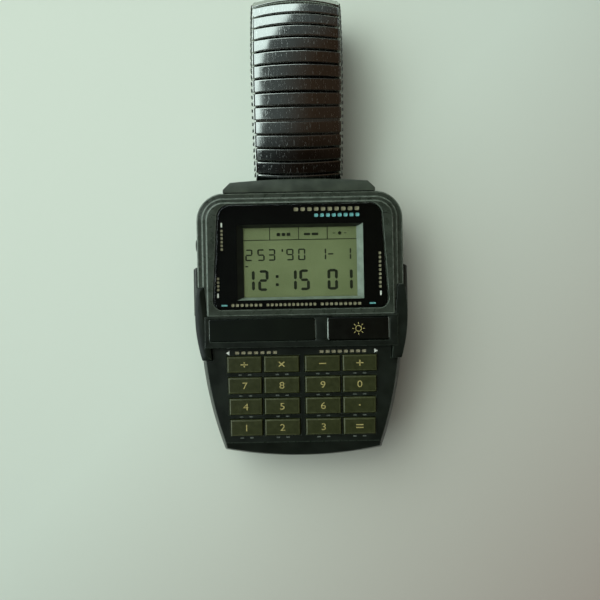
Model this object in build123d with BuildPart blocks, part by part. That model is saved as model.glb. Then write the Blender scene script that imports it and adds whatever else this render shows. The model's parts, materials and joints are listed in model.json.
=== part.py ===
from build123d import *
import math
import os

os.makedirs("parts", exist_ok=True)

# Calculator watch on an expanding steel band, lying on its folded band.
# Millimetres. The origin is the centre of the case back's flat face, +X points to the
# 3 o'clock side, +Y to the 12 o'clock side and +Z out of the crystal.

# Case outline, seen from the front
case_half_width = 18.15
case_top_y = 22.0
case_foot_y = -24.9
waist_y = -0.5
knee_inset = 1.2
knee_x = case_half_width - knee_inset
knee_y = -13.0
toe_inset = 4.15
toe_x = case_half_width - toe_inset
toe_rise = 1.3
toe_y = case_foot_y + toe_rise
shoulder_radius = 4.8
toe_radius = 1.2

# Heights above the case back's flat face
case_bottom_z = 0.25
tier_z = 5.4
tier_height = 1.5
seat_z = tier_z + tier_height
deck_height = 0.7
deck_z = seat_z + deck_height
bezel_height = 1.95
bezel_top_z = seat_z + bezel_height
crystal_rise = 0.35
crystal_top_z = bezel_top_z + crystal_rise
bay_height = 1.7
chamber_top_z = seat_z - bay_height

# Shared gaps and cuts
slip_gap = 0.1
seat_gap = 0.05
run_gap = 0.05
overrun = 1.0

# Case body
belly_chamfer = 0.9
deck_draw = 0.85
deck_top_y = -5.3
deck_foot_y = -22.0
lip_drop = 2.3
foot_lip_z = deck_z - lip_drop
case_wall = 2.25
module_half_width = case_half_width - case_wall
module_end_wall = 3.5
module_top_y = case_top_y - module_end_wall
module_foot_wall = 6.3
module_foot_y = case_foot_y + module_foot_wall
module_narrowing = 2.2
module_foot_half_width = module_half_width - module_narrowing
module_corner = 1.4
bay_foot_wall = 3.6
key_bay_foot_y = case_foot_y + bay_foot_wall
bay_top_wall = 0.9
key_bay_top_y = deck_top_y - bay_top_wall

# Bezel frame round the crystal
ridge_inset_1 = 0.95
ridge_inset_2 = 1.75
ridge_height_1 = 1.1
ridge_z_1 = seat_z + ridge_height_1
ridge_height_2 = 0.45
ridge_z_2 = ridge_z_1 + ridge_height_2
ridge_chamfer = 0.16
frame_foot_y = 0.3

# Crystal, its seal and the display mask
frame_top_width = 3.85
crystal_top_half_width = case_half_width - frame_top_width
crystal_flare = 1.1
crystal_foot_half_width = crystal_top_half_width + crystal_flare
frame_end_width = 2.15
crystal_top_y = case_top_y - frame_end_width
frame_foot_width = 1.2
crystal_foot_y = frame_foot_y + frame_foot_width
crystal_top_corner = 2.3
crystal_foot_corner = 1.6
crystal_thickness = 1.2
crystal_chamfer = 0.3
seal_thickness = 0.14
ledge_width = 0.9
mask_gap = 0.1
lcd_side_border = 4.25
lcd_window_width = 2 * (crystal_top_half_width - lcd_side_border)
lcd_window_y = 9.75
mask_flare = 1.1
mask_flare_y = 0.5
mask_thickness = 0.85

# Window in the case below the crystal
window_side_ledge = 1.2
window_half_width = crystal_top_half_width - window_side_ledge
window_top_ledge = 1.45
window_top_y = crystal_top_y - window_top_ledge
window_foot_ledge = 0.3
window_foot_y = crystal_foot_y + window_foot_ledge
lcd_foot_border = 1.8
lcd_window_height = 2 * (lcd_window_y - window_foot_y - lcd_foot_border)
window_corner = 1.2

# Lugs, their slots and the spring bars
bar_top_y = case_top_y
bar_foot_inset = 1.9
bar_foot_y = case_foot_y + bar_foot_inset
bar_z = 2.5
slot_half_width = 8.2
slot_top_room = 2.1
slot_top_wall_y = bar_top_y - slot_top_room
slot_foot_room = 2.9
slot_foot_wall_y = bar_foot_y + slot_foot_room
roof_thickness = 0.7
slot_foot_roof_z = chamber_top_z - roof_thickness
slot_roof_rise = 2.8
slot_top_roof_z = bar_z + slot_roof_rise
hood_inset = 4.75
hood_half_width = case_half_width - hood_inset
hood_reach = 2.5
hood_reach_y = case_top_y + hood_reach
hood_corner_inset = 1.2
hood_corner_x = hood_half_width - hood_corner_inset
hood_bow = 0.6
hood_corner_y = hood_reach_y - hood_bow
hood_corner_depth = 1.3
hood_side_y = hood_corner_y - hood_corner_depth
hood_root_depth = 1.4
hood_root_y = case_top_y - hood_root_depth
hood_bottom_z = 0.9
hood_top_drop = 0.55
hood_top_z = bezel_top_z - hood_top_drop
hood_brow_depth = 0.3
hood_brow_y = case_top_y - hood_brow_depth
hood_brow_drop = 1.05
hood_brow_z = hood_top_z - hood_brow_drop
hood_lip_thickness = 0.5
hood_under_z = hood_brow_z - hood_lip_thickness
bar_radius = 0.75
bar_pin_radius = 0.4
bar_pin_length = 0.9
bar_end_gap = 0.1
bar_flange_radius = 1.0
bar_flange_length = 0.35

# Crossbar with its two arms
bar_plate_gap = 0.05
bar_plate_top_y = frame_foot_y - bar_plate_gap
bar_plate_overlap = 0.1
bar_plate_foot_y = deck_top_y + bar_plate_overlap
bar_plate_drop = 0.1
bar_plate_z = bezel_top_z - bar_plate_drop
bar_plate_inset = 1.25
bar_plate_half_width = case_half_width - bar_plate_inset
arm_top_y = 5.4
arm_foot_y = -7.35
arm_top_swell = 0.1
arm_outer_top_x = case_half_width + arm_top_swell
arm_mid_swell = 0.45
arm_outer_mid_x = case_half_width + arm_mid_swell
arm_outer_mid_y = -1.2
arm_foot_inset = 0.65
arm_outer_foot_x = case_half_width - arm_foot_inset
arm_top_width = 1.25
arm_inner_top_x = arm_outer_top_x - arm_top_width
arm_foot_width = 1.75
arm_inner_foot_x = arm_outer_foot_x - arm_foot_width
arm_drop = 0.3
arm_z = bezel_top_z - arm_drop
arm_chamfer = 0.35
insert_inset = 0.7
insert_left_x = insert_inset - bar_plate_half_width
insert_width = 18.7
insert_right_x = insert_left_x + insert_width
insert_foot_border = 1.1
insert_foot_y = bar_plate_foot_y + insert_foot_border
insert_top_border = 0.4
insert_top_y = bar_plate_top_y - insert_top_border
insert_depth = 0.55
insert_thickness = 0.5
insert_corner = 0.35
light_gap = 2.0
light_left_x = insert_right_x + light_gap
light_inset = 1.5
light_right_x = bar_plate_half_width - light_inset
light_corner = 0.5
light_rise = 0.2
light_top_z = bar_plate_z + light_rise
light_flange = 0.35
light_flange_thickness = 0.5
light_pocket_height = 0.75
light_travel = 0.4
light_crown = 0.15

# Keys
key_row_y = -8.2
key_row_pitch = 3.7
key_height = 2.85
key_centre_gap = 1.0
key_outer_gap = 0.42
key_outer_trim = 0.15
key_border = 0.83
key_room = toe_x - key_border - key_centre_gap / 2 - key_outer_gap
key_inner_width = (key_room + key_outer_trim) / 2
key_inner_x = (key_centre_gap + key_inner_width) / 2
key_outer_width = key_inner_width - key_outer_trim
key_narrowing = 0.14
key_rise = 0.6
key_top_z = deck_z + key_rise
key_chamfer = 0.18
key_flange = 0.16
key_flange_thickness = 0.6
key_travel = 0.4
key_names = (
    ("key_divide", "key_multiply", "key_subtract", "key_add"),
    ("key_7", "key_8", "key_9", "key_0"),
    ("key_4", "key_5", "key_6", "key_point"),
    ("key_1", "key_2", "key_3", "key_equals"),
)

# Side pushers
pusher_y = 4.65
pusher_z = 4.1
pusher_length = 9.1
pusher_height = 2.5
pusher_stand = 1.2
pusher_reach_x = case_half_width + pusher_stand
pusher_pocket_depth = 1.15
pusher_pocket_x = case_half_width - pusher_pocket_depth
pusher_pocket_gap = 0.12
pusher_bevel = 0.45
pusher_travel = 0.8
pusher_stop_gap = 0.15
stem_radius = 0.8
stem_reach = 1.15
stem_tip_x = module_half_width - stem_reach
stem_groove_radius = 0.6
clip_thickness = 0.3
clip_radius = 1.35
clip_gap = 0.03
clip_wall_gap = 0.08
adjust_y = 13.2
adjust_radius = 1.5
adjust_stand = 0.7
adjust_reach_x = case_half_width + adjust_stand
adjust_travel = 0.6

# Case back, gasket and screws
back_thickness = 0.9
back_border = 0.9
back_chamfer = 0.3
back_gap = 0.1
gasket_width = 0.7
gasket_thickness = 0.35
screw_inset_x = 1.2
screw_inset_y = 1.5
screw_top_x = module_half_width - screw_inset_x
screw_top_y = module_top_y - screw_inset_y
screw_foot_x = module_foot_half_width - screw_inset_x
screw_foot_y = module_foot_y + screw_inset_y
screw_head_radius = 1.0
screw_head_height = 0.45
screw_radius = 0.55
screw_length = 3.2
screw_boss_radius = 1.6
screw_slot_width = 0.25
screw_slot_depth = 0.2

# Movement inside the case
cell_thickness = 1.6
cell_cap_inset = 0.9
cell_cap_height = 0.2
cell_y = -7.6
cell_side_room = 3.7
cell_foot_room = 1.0
cell_radius = min(module_foot_half_width - cell_side_room, cell_y - module_foot_y - cell_foot_room)
strap_width = 4.2
strap_lift = 0.12
strap_z = back_thickness + strap_lift
strap_thickness = 0.2
strap_overhang = 0.5
strap_height = 2.03
cell_gap = 0.08
cell_z = strap_z + strap_thickness + cell_gap
board_gap = 0.1
board_lift = 0.22
board_z = cell_z + cell_thickness + board_lift
board_thickness = 0.6
frame_gap = 0.08
frame_z = board_z + board_thickness + frame_gap
skirt_z = back_thickness + gasket_thickness + board_gap
skirt_inset = 2.1
skirt_end_gap = 0.3
skirt_thickness = 0.7
chip_size = 6.4
chip_height = 1.1
chip_bevel = 0.25
chip_x = -2.5
chip_y = 10.6
quartz_radius = 0.75
quartz_length = 5.2
quartz_inset = 7.9
quartz_x = module_half_width - quartz_inset
quartz_y = 13.2
quartz_gap = 0.1
glow_thickness = 0.3
glow_margin = 1.6
panel_side_gap = 0.8
panel_width = 2 * (window_half_width - panel_side_gap)
panel_foot_gap = 0.25
panel_height = 2 * (lcd_window_y - window_foot_y - panel_foot_gap)
panel_lift = 0.4
panel_z = chamber_top_z + panel_lift
glass_thickness = 0.6
glass_ledge = 0.9
strip_width = 1.1
strip_inset = 0.8
strip_end_inset = 1.0
buzzer_radius = 6.6
buzzer_thickness = 0.2
buzzer_border = 1.2
buzzer_x = 3.0
buzzer_y = 10.2
buzzer_gap = 0.03
sheet_thickness = 0.25
sheet_margin = 0.3
sheet_top_y = -0.6
pad_width = 2.6
pad_height = 1.5

# Band: middle line from the 12 o'clock spring bar, round the fold and back underneath
leave_angle = 37.0
rise_angle = 19.5
crest_angle = 2.5
fall_angle = -23.0
rise_length = 12.6
crest_length = 8.5
fall_length = 12.0
under_z = -1.5
end_reach_top = 3.9
end_reach_foot = 2.9

# Band links
links_in_segment = (5, 4, 4, 2, 2, 2, 6, 7, 7, 6, 5, 2)
link_side_gap = 0.5
link_half_width = slot_half_width - link_side_gap
link_gap = 0.16
row_gap = 0.3
upper_edge_height = 0.75
crown_rise = 1.1
upper_crown_height = upper_edge_height + crown_rise
upper_chamfer = 0.2
upper_relief_length = 0.35
upper_relief_height = 0.15
lower_thickness = 1.1
lower_inset = 0.2
lower_half_width = link_half_width - lower_inset
lower_draw = 0.32
lower_chamfer = 0.14
plate_side_gap = 0.03
plate_thickness = 0.2
plate_width = 0.5
plate_low = 0.9
plate_high = 0.55
plate_shares = (0.25, 0.75)
barrel_wall = 0.45
barrel_radius = bar_radius + run_gap + barrel_wall
crown_start = 1.2
tongue_draw = 0.7


def save(part, name):
    """Write one finished piece under its own name."""
    part.label = name
    export_step(part, f"parts/{name}.step")


# Outlines that several pieces share
def case_face(inset=0.0):
    """Outline of the case, drawn in by an inset."""
    with BuildSketch() as face:
        with BuildLine():
            Line((0, case_top_y), (case_half_width, case_top_y))
            Line((case_half_width, case_top_y), (case_half_width, waist_y))
            ThreePointArc((case_half_width, waist_y), (knee_x, knee_y), (toe_x, toe_y))
            TangentArc((0, case_foot_y), (toe_x, toe_y), tangent=(1, 0))
            mirror(about=Plane.YZ)
        make_face()
        fillet(face.vertices().group_by(Axis.Y)[-1], shoulder_radius)
        fillet(face.vertices().group_by(Axis.Y)[1], toe_radius)
        if inset > 0:
            offset(amount=-inset, mode=Mode.REPLACE)
    return face.sketch


def crystal_face(grow=0.0):
    """Outline of the crystal, wider towards its foot."""
    with BuildSketch() as face:
        with BuildLine():
            Polyline(
                (-crystal_top_half_width, crystal_top_y),
                (crystal_top_half_width, crystal_top_y),
                (crystal_foot_half_width, crystal_foot_y),
                (-crystal_foot_half_width, crystal_foot_y),
                close=True,
            )
        make_face()
        fillet(face.vertices().group_by(Axis.Y)[-1], crystal_top_corner)
        fillet(face.vertices().group_by(Axis.Y)[0], crystal_foot_corner)
        if grow != 0:
            offset(amount=grow, mode=Mode.REPLACE)
    return face.sketch


def arm_face(grow=0.0):
    """Footprint of the two side arms."""
    with BuildSketch() as face:
        with BuildLine():
            ThreePointArc(
                (arm_outer_top_x, arm_top_y),
                (arm_outer_mid_x, arm_outer_mid_y),
                (arm_outer_foot_x, arm_foot_y),
            )
            Polyline(
                (arm_outer_foot_x, arm_foot_y),
                (arm_inner_foot_x, arm_foot_y),
                (arm_inner_top_x, arm_top_y),
                (arm_outer_top_x, arm_top_y),
            )
        make_face()
        if grow > 0:
            offset(amount=grow, kind=Kind.INTERSECTION, mode=Mode.REPLACE)
        mirror(about=Plane.YZ)
    return face.sketch


def cavity_face(inset=0.0):
    """Outline of the movement's cavity, with room for the four screw bosses."""
    with BuildSketch() as face:
        with BuildLine():
            Polyline(
                (-module_half_width, module_top_y),
                (module_half_width, module_top_y),
                (module_half_width, waist_y),
                (module_foot_half_width, module_foot_y),
                (-module_foot_half_width, module_foot_y),
                (-module_half_width, waist_y),
                close=True,
            )
        make_face()
        with Locations(*screw_places()):
            Rectangle(2 * screw_boss_radius, 2 * screw_boss_radius, mode=Mode.SUBTRACT)
        if inset > 0:
            offset(amount=-inset, kind=Kind.INTERSECTION, mode=Mode.REPLACE)
    return face.sketch


def back_face(inset=0.0):
    """Outline of the case back."""
    with BuildSketch() as face:
        with BuildLine():
            Polyline(
                (-module_half_width, module_top_y),
                (module_half_width, module_top_y),
                (module_half_width, waist_y),
                (module_foot_half_width, module_foot_y),
                (-module_foot_half_width, module_foot_y),
                (-module_half_width, waist_y),
                close=True,
            )
        make_face()
        fillet(face.vertices().group_by(Axis.Y)[-1], module_corner)
        fillet(face.vertices().group_by(Axis.Y)[0], module_corner)
        offset(amount=back_border - inset, mode=Mode.REPLACE)
    return face.sketch


def half_plane(y, side):
    """Cutting rectangle over the whole case, above or below a line across it."""
    with BuildSketch() as face:
        with Locations((0, y + side * case_half_width * 2)):
            Rectangle(3 * case_half_width, 4 * case_half_width)
    return face.sketch


def screw_places():
    """Centres of the four case-back screws."""
    return [
        (screw_top_x, screw_top_y),
        (-screw_top_x, screw_top_y),
        (screw_foot_x, screw_foot_y),
        (-screw_foot_x, screw_foot_y),
    ]


def key_place(row, column):
    """Centre and width of one key: the outer keys narrow towards the foot."""
    side = 1 if column > 1 else -1
    y = key_row_y - row * key_row_pitch
    if column in (1, 2):
        return side * key_inner_x, y, key_inner_width
    width = key_outer_width - row * key_narrowing
    x = key_inner_x + key_inner_width / 2 + key_outer_gap + width / 2
    return side * x, y, width


keys = [
    (name, *key_place(row, column))
    for row, names in enumerate(key_names)
    for column, name in enumerate(names)
]


def band_place(reach):
    """Y, Z and slope of the band's middle line at a distance from the 12 o'clock spring bar."""
    y, z, slope = bar_top_y, bar_z, leave_angle
    for length, bend in band_stretches:
        run = min(reach, length)
        turn = bend * run / length
        heading, end_heading = math.radians(slope), math.radians(slope + turn)
        if turn == 0:
            y += run * math.cos(heading)
            z += run * math.sin(heading)
        else:
            radius = run / math.radians(turn)
            y += radius * (math.sin(end_heading) - math.sin(heading))
            z += radius * (math.cos(heading) - math.cos(end_heading))
        slope += turn
        reach -= run
        if reach <= 0:
            break
    return y, z, slope


# Stretches of the band's middle line: a length and the angle it bends by
band_stretches = [
    (rise_length, rise_angle - leave_angle),
    (crest_length, crest_angle - rise_angle),
    (fall_length, fall_angle - crest_angle),
]
fold_y, fold_z, _ = band_place(rise_length + crest_length + fall_length)
fold_radius = (fold_z - under_z) / (1 + math.cos(math.radians(fall_angle)))
fold_bend = -180 - fall_angle
fold_centre_y = fold_y + fold_radius * math.sin(math.radians(fall_angle))
foot_turn_radius = bar_z - under_z
foot_turn_y = bar_foot_y + foot_turn_radius
band_stretches += [
    (fold_radius * math.radians(-fold_bend), fold_bend),
    (fold_centre_y - foot_turn_y, 0),
    (foot_turn_radius * math.radians(90), -90),
]
band_length = sum(length for length, _ in band_stretches)
link_count = sum(links_in_segment)
link_pitch = (band_length - end_reach_top - end_reach_foot) / link_count
link_length = link_pitch - link_gap

light_x = (light_left_x + light_right_x) / 2
light_width = light_right_x - light_left_x
light_y = (insert_top_y + insert_foot_y) / 2
light_height = insert_top_y - insert_foot_y
light_room = 2 * (light_flange + slip_gap)
bars = ((bar_top_y, "spring_bar_12"), (bar_foot_y, "spring_bar_6"))
bar_length = 2 * (slot_half_width - bar_end_gap)

# Case body
with BuildPart() as case_body:
    with BuildSketch(Plane.XY.offset(case_bottom_z)):
        add(case_face())
    extrude(amount=tier_z - case_bottom_z)
    chamfer(case_body.faces().sort_by(Axis.Z)[0].edges(), belly_chamfer)
    # keypad deck, drawn in towards its top
    with BuildSketch(Plane.XY.offset(tier_z)):
        add(case_face())
    with BuildSketch(Plane.XY.offset(deck_z)):
        add(case_face(deck_draw))
    loft()
    # sloping lip below the keypad
    with BuildSketch(Plane.YZ):
        with BuildLine():
            Polyline(
                (deck_foot_y, deck_z),
                (case_foot_y - overrun, foot_lip_z),
                (case_foot_y - overrun, deck_z + overrun),
                (deck_foot_y, deck_z + overrun),
                close=True,
            )
        make_face()
    extrude(amount=case_half_width, both=True, mode=Mode.SUBTRACT)
    # seat of the bezel frame and the crossbar
    with BuildSketch(Plane.XY.offset(seat_z)):
        add(half_plane(deck_top_y, 1))
        add(arm_face(slip_gap))
    extrude(amount=deck_z - seat_z + overrun, mode=Mode.SUBTRACT)
    with BuildSketch(Plane.XY.offset(tier_z)):
        add(case_face())
        add(half_plane(deck_top_y, -1), mode=Mode.SUBTRACT)
    extrude(amount=seat_z - tier_z)
    with BuildSketch(Plane.XY.offset(tier_z)):
        add(arm_face())
        add(half_plane(deck_top_y, 1), mode=Mode.SUBTRACT)
    extrude(amount=seat_z - tier_z)
    # hood over the 12 o'clock spring bar, with the two lugs below it
    with BuildSketch(Plane.XY.offset(hood_bottom_z)):
        with BuildLine():
            Polyline(
                (-hood_corner_x, hood_corner_y),
                (-hood_half_width, hood_side_y),
                (-hood_half_width, hood_root_y),
                (hood_half_width, hood_root_y),
                (hood_half_width, hood_side_y),
                (hood_corner_x, hood_corner_y),
            )
            ThreePointArc((hood_corner_x, hood_corner_y), (0, hood_reach_y), (-hood_corner_x, hood_corner_y))
        make_face()
    extrude(amount=hood_top_z - hood_bottom_z)
    with BuildSketch(Plane.YZ):
        with BuildLine():
            ThreePointArc(
                (hood_brow_y, hood_top_z),
                ((hood_brow_y + hood_reach_y) / 2, (2 * hood_top_z + hood_brow_z) / 3),
                (hood_reach_y, hood_brow_z),
            )
            Polyline(
                (hood_reach_y, hood_brow_z),
                (hood_reach_y + overrun, hood_brow_z),
                (hood_reach_y + overrun, hood_top_z + overrun),
                (hood_brow_y, hood_top_z + overrun),
                (hood_brow_y, hood_top_z),
            )
        make_face()
    extrude(amount=case_half_width, both=True, mode=Mode.SUBTRACT)
    with BuildSketch(Plane.XY.offset(seat_z)):
        add(case_face())
        add(half_plane(hood_root_y - overrun, -1), mode=Mode.SUBTRACT)
    extrude(amount=hood_top_z - seat_z + overrun, mode=Mode.SUBTRACT)
    # slots for the band's ends
    with BuildSketch(Plane.YZ):
        with BuildLine():
            Polyline(
                (slot_top_wall_y, -overrun),
                (slot_top_wall_y, slot_top_roof_z),
                (hood_brow_y, slot_top_roof_z),
                (hood_reach_y, hood_under_z),
                (hood_reach_y + overrun, hood_under_z),
                (hood_reach_y + overrun, -overrun),
                close=True,
            )
        make_face()
    extrude(amount=slot_half_width, both=True, mode=Mode.SUBTRACT)
    with BuildSketch(Plane.XY.offset(-overrun)):
        with Locations((0, slot_foot_wall_y)):
            Rectangle(2 * slot_half_width, hood_reach_y, align=(Align.CENTER, Align.MAX))
    extrude(amount=slot_foot_roof_z + overrun, mode=Mode.SUBTRACT)
    # blind holes for the spring bars' pins
    for y, _ in bars:
        with BuildSketch(Plane.YZ):
            with Locations((y, bar_z)):
                Circle(bar_pin_radius + run_gap)
        extrude(amount=slot_half_width + bar_pin_length, both=True, mode=Mode.SUBTRACT)
    # movement cavity, open at the back, and the key bay above it
    with BuildSketch(Plane.XY.offset(case_bottom_z - overrun)):
        add(cavity_face())
    extrude(amount=chamber_top_z - case_bottom_z + overrun, mode=Mode.SUBTRACT)
    with BuildSketch(Plane.XY.offset(chamber_top_z - overrun)):
        add(cavity_face())
    extrude(amount=seat_z - roof_thickness - chamber_top_z + overrun, mode=Mode.SUBTRACT)
    with BuildSketch(Plane.XY.offset(chamber_top_z)):
        with Locations((0, key_bay_foot_y)):
            Rectangle(
                2 * module_foot_half_width,
                module_foot_y - key_bay_foot_y + overrun,
                align=(Align.CENTER, Align.MIN),
            )
    extrude(amount=seat_z - chamber_top_z, mode=Mode.SUBTRACT)
    with BuildSketch(Plane.XY.offset(chamber_top_z)):
        with Locations((0, (key_bay_foot_y + key_bay_top_y) / 2)):
            Rectangle(2 * module_foot_half_width, key_bay_top_y - key_bay_foot_y)
    extrude(amount=seat_z - chamber_top_z, mode=Mode.SUBTRACT)
    # window below the crystal
    with BuildSketch(Plane.XY.offset(chamber_top_z)) as window:
        with Locations((0, (window_top_y + window_foot_y) / 2)):
            Rectangle(2 * window_half_width, window_top_y - window_foot_y)
        fillet(window.vertices(), window_corner)
    extrude(amount=seat_z, mode=Mode.SUBTRACT)
    # key holes and the light button's hole
    with BuildSketch(Plane.XY.offset(chamber_top_z)):
        for _, x, y, width in keys:
            with Locations((x, y)):
                Rectangle(width + 2 * slip_gap, key_height + 2 * slip_gap)
        with Locations((light_x, light_y)):
            Rectangle(light_width + light_room, light_height + light_room)
    extrude(amount=deck_z, mode=Mode.SUBTRACT)
    # recess for the case back, and its screw holes
    with BuildSketch(Plane.XY.offset(case_bottom_z - overrun)):
        add(back_face(-back_gap))
    extrude(amount=back_thickness + gasket_thickness - case_bottom_z + overrun, mode=Mode.SUBTRACT)
    with BuildSketch(Plane.XY):
        with Locations(*screw_places()):
            Circle(screw_radius)
    extrude(amount=back_thickness + screw_length, mode=Mode.SUBTRACT)
    # pockets and bores for the pushers
    for side in (1, -1):
        with BuildSketch(Plane.YZ.offset(side * pusher_pocket_x)):
            with Locations((pusher_y, pusher_z)):
                RectangleRounded(
                    pusher_length + 2 * pusher_pocket_gap,
                    pusher_height + 2 * pusher_pocket_gap,
                    pusher_bevel,
                )
        extrude(amount=side * (case_half_width - pusher_pocket_x + overrun), mode=Mode.SUBTRACT)
    with BuildSketch(Plane.YZ):
        with Locations((pusher_y, pusher_z)):
            Circle(stem_radius + run_gap)
    extrude(amount=case_half_width, both=True, mode=Mode.SUBTRACT)
    with BuildSketch(Plane.YZ.offset(-pusher_pocket_x)):
        with Locations((adjust_y, pusher_z)):
            Circle(adjust_radius + pusher_pocket_gap)
    extrude(amount=-(case_half_width - pusher_pocket_x + overrun), mode=Mode.SUBTRACT)
    with BuildSketch(Plane.YZ):
        with Locations((adjust_y, pusher_z)):
            Circle(stem_radius + run_gap)
    extrude(amount=-case_half_width, mode=Mode.SUBTRACT)
save(case_body.part, "case_body")

# Bezel frame: three steps round the crystal, cut back for the arms
with BuildPart() as bezel_frame:
    for inset, low, high in (
        (0, seat_z, ridge_z_1),
        (ridge_inset_1, ridge_z_1, ridge_z_2),
        (ridge_inset_2, ridge_z_2, bezel_top_z),
    ):
        with BuildSketch(Plane.XY.offset(low)):
            add(case_face(inset))
            add(half_plane(frame_foot_y, -1), mode=Mode.SUBTRACT)
        extrude(amount=high - low)
        chamfer(bezel_frame.faces().sort_by(Axis.Z)[-1].edges(), ridge_chamfer)
    with BuildSketch(Plane.XY.offset(seat_z)):
        add(crystal_face(slip_gap - ledge_width))
    extrude(amount=seat_z, mode=Mode.SUBTRACT)
    with BuildSketch(Plane.XY.offset(crystal_top_z - crystal_thickness - seal_thickness)):
        add(crystal_face(slip_gap))
    extrude(amount=seat_z, mode=Mode.SUBTRACT)
    with BuildSketch(Plane.XY.offset(seat_z - overrun)):
        add(arm_face(slip_gap))
    extrude(amount=seat_z, mode=Mode.SUBTRACT)
save(bezel_frame.part, "bezel_frame")

# Crystal and its seal
with BuildPart() as crystal:
    with BuildSketch(Plane.XY.offset(crystal_top_z - crystal_thickness)):
        add(crystal_face())
    extrude(amount=crystal_thickness)
    chamfer(crystal.faces().sort_by(Axis.Z)[-1].edges(), crystal_chamfer)
save(crystal.part, "crystal")

with BuildPart() as crystal_seal:
    with BuildSketch(Plane.XY.offset(crystal_top_z - crystal_thickness - seal_thickness)):
        add(crystal_face())
        add(crystal_face(slip_gap - ledge_width), mode=Mode.SUBTRACT)
    extrude(amount=seal_thickness)
save(crystal_seal.part, "crystal_seal")

# Display mask: black frame whose flared window shows the display
mask_top_z = crystal_top_z - crystal_thickness - seal_thickness
with BuildPart() as display_mask:
    with BuildSketch(Plane.XY.offset(mask_top_z - mask_thickness)):
        add(crystal_face(-ledge_width - mask_gap))
    extrude(amount=mask_thickness)
    with BuildSketch(Plane.XY.offset(mask_top_z - mask_thickness)) as mask_low:
        with Locations((0, lcd_window_y)):
            Rectangle(lcd_window_width, lcd_window_height)
    with BuildSketch(Plane.XY.offset(mask_top_z)) as mask_high:
        with Locations((0, lcd_window_y)):
            Rectangle(lcd_window_width + 2 * mask_flare, lcd_window_height + 2 * mask_flare_y)
    loft(mode=Mode.SUBTRACT)
save(display_mask.part, "display_mask")

# Crossbar: a bridge below the crystal with an arm down each side
with BuildPart() as crossbar:
    with BuildSketch(Plane.XY.offset(seat_z)):
        add(arm_face())
    extrude(amount=arm_z - seat_z)
    chamfer(crossbar.faces().sort_by(Axis.Z)[-1].edges(), arm_chamfer)
    chamfer(crossbar.faces().sort_by(Axis.Z)[-2].edges(), arm_chamfer)
    with BuildSketch(Plane.XY.offset(seat_z)):
        with Locations((0, bar_plate_foot_y)):
            Rectangle(
                2 * bar_plate_half_width,
                bar_plate_top_y - bar_plate_foot_y,
                align=(Align.CENTER, Align.MIN),
            )
    extrude(amount=bar_plate_z - seat_z)
    with BuildSketch(Plane.XY.offset(bar_plate_z - insert_depth)):
        with Locations(((insert_left_x + insert_right_x) / 2, light_y)):
            RectangleRounded(insert_right_x - insert_left_x, light_height, insert_corner)
    extrude(amount=insert_depth, mode=Mode.SUBTRACT)
    with BuildSketch(Plane.XY.offset(seat_z)):
        with Locations((light_x, light_y)):
            RectangleRounded(light_width + 2 * slip_gap, light_height + 2 * slip_gap, light_corner)
    extrude(amount=bar_plate_z, mode=Mode.SUBTRACT)
    with BuildSketch(Plane.XY.offset(seat_z)):
        with Locations((light_x, light_y)):
            Rectangle(light_width + light_room, light_height + light_room)
    extrude(amount=light_pocket_height, mode=Mode.SUBTRACT)
save(crossbar.part, "crossbar")

with BuildPart() as panel_insert:
    with BuildSketch(Plane.XY.offset(bar_plate_z - insert_depth)):
        with Locations(((insert_left_x + insert_right_x) / 2, light_y)):
            RectangleRounded(
                insert_right_x - insert_left_x - 2 * seat_gap,
                light_height - 2 * seat_gap,
                insert_corner - seat_gap,
            )
    extrude(amount=insert_thickness)
save(panel_insert.part, "panel_insert")

# Light button: a crowned cap on a flange held below the crossbar
light_flange_z = seat_z + light_pocket_height - light_flange_thickness - seat_gap
with BuildPart() as light_button:
    with BuildSketch(Plane.XY.offset(light_flange_z)):
        with Locations((light_x, light_y)):
            Rectangle(light_width + 2 * light_flange, light_height + 2 * light_flange)
    extrude(amount=light_flange_thickness)
    with BuildSketch(Plane.XY.offset(light_flange_z)):
        with Locations((light_x, light_y)):
            RectangleRounded(light_width, light_height, light_corner - slip_gap)
    extrude(amount=light_top_z - light_flange_z)
    chamfer(light_button.faces().sort_by(Axis.Z)[-1].edges(), light_crown)
save(light_button.part, "light_button")

# Keys: a cap through the deck on a flange that the deck holds down
key_foot_z = seat_z - key_flange_thickness - seat_gap
for name, x, y, width in keys:
    with BuildPart() as key:
        with BuildSketch(Plane.XY.offset(key_foot_z)):
            with Locations((x, y)):
                Rectangle(width + 2 * key_flange, key_height + 2 * key_flange)
        extrude(amount=key_flange_thickness)
        with BuildSketch(Plane.XY.offset(key_foot_z)):
            with Locations((x, y)):
                Rectangle(width, key_height)
        extrude(amount=key_top_z - key_foot_z)
        chamfer(key.faces().sort_by(Axis.Z)[-1].edges(), key_chamfer)
    save(key.part, name)

# Case back, its gasket and its screws
with BuildPart() as case_back:
    with BuildSketch():
        add(back_face())
    extrude(amount=back_thickness)
    chamfer(case_back.faces().sort_by(Axis.Z)[0].edges(), back_chamfer)
    with BuildSketch():
        with Locations(*screw_places()):
            Circle(screw_radius + slip_gap)
    extrude(amount=back_thickness, mode=Mode.SUBTRACT)
    with BuildSketch():
        with Locations(*screw_places()):
            Circle(screw_head_radius + slip_gap)
    extrude(amount=screw_head_height + seat_gap, mode=Mode.SUBTRACT)
save(case_back.part, "case_back")

with BuildPart() as back_gasket:
    with BuildSketch(Plane.XY.offset(back_thickness)):
        add(back_face(slip_gap))
        add(back_face(slip_gap + gasket_width), mode=Mode.SUBTRACT)
    extrude(amount=gasket_thickness)
save(back_gasket.part, "back_gasket")

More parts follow.
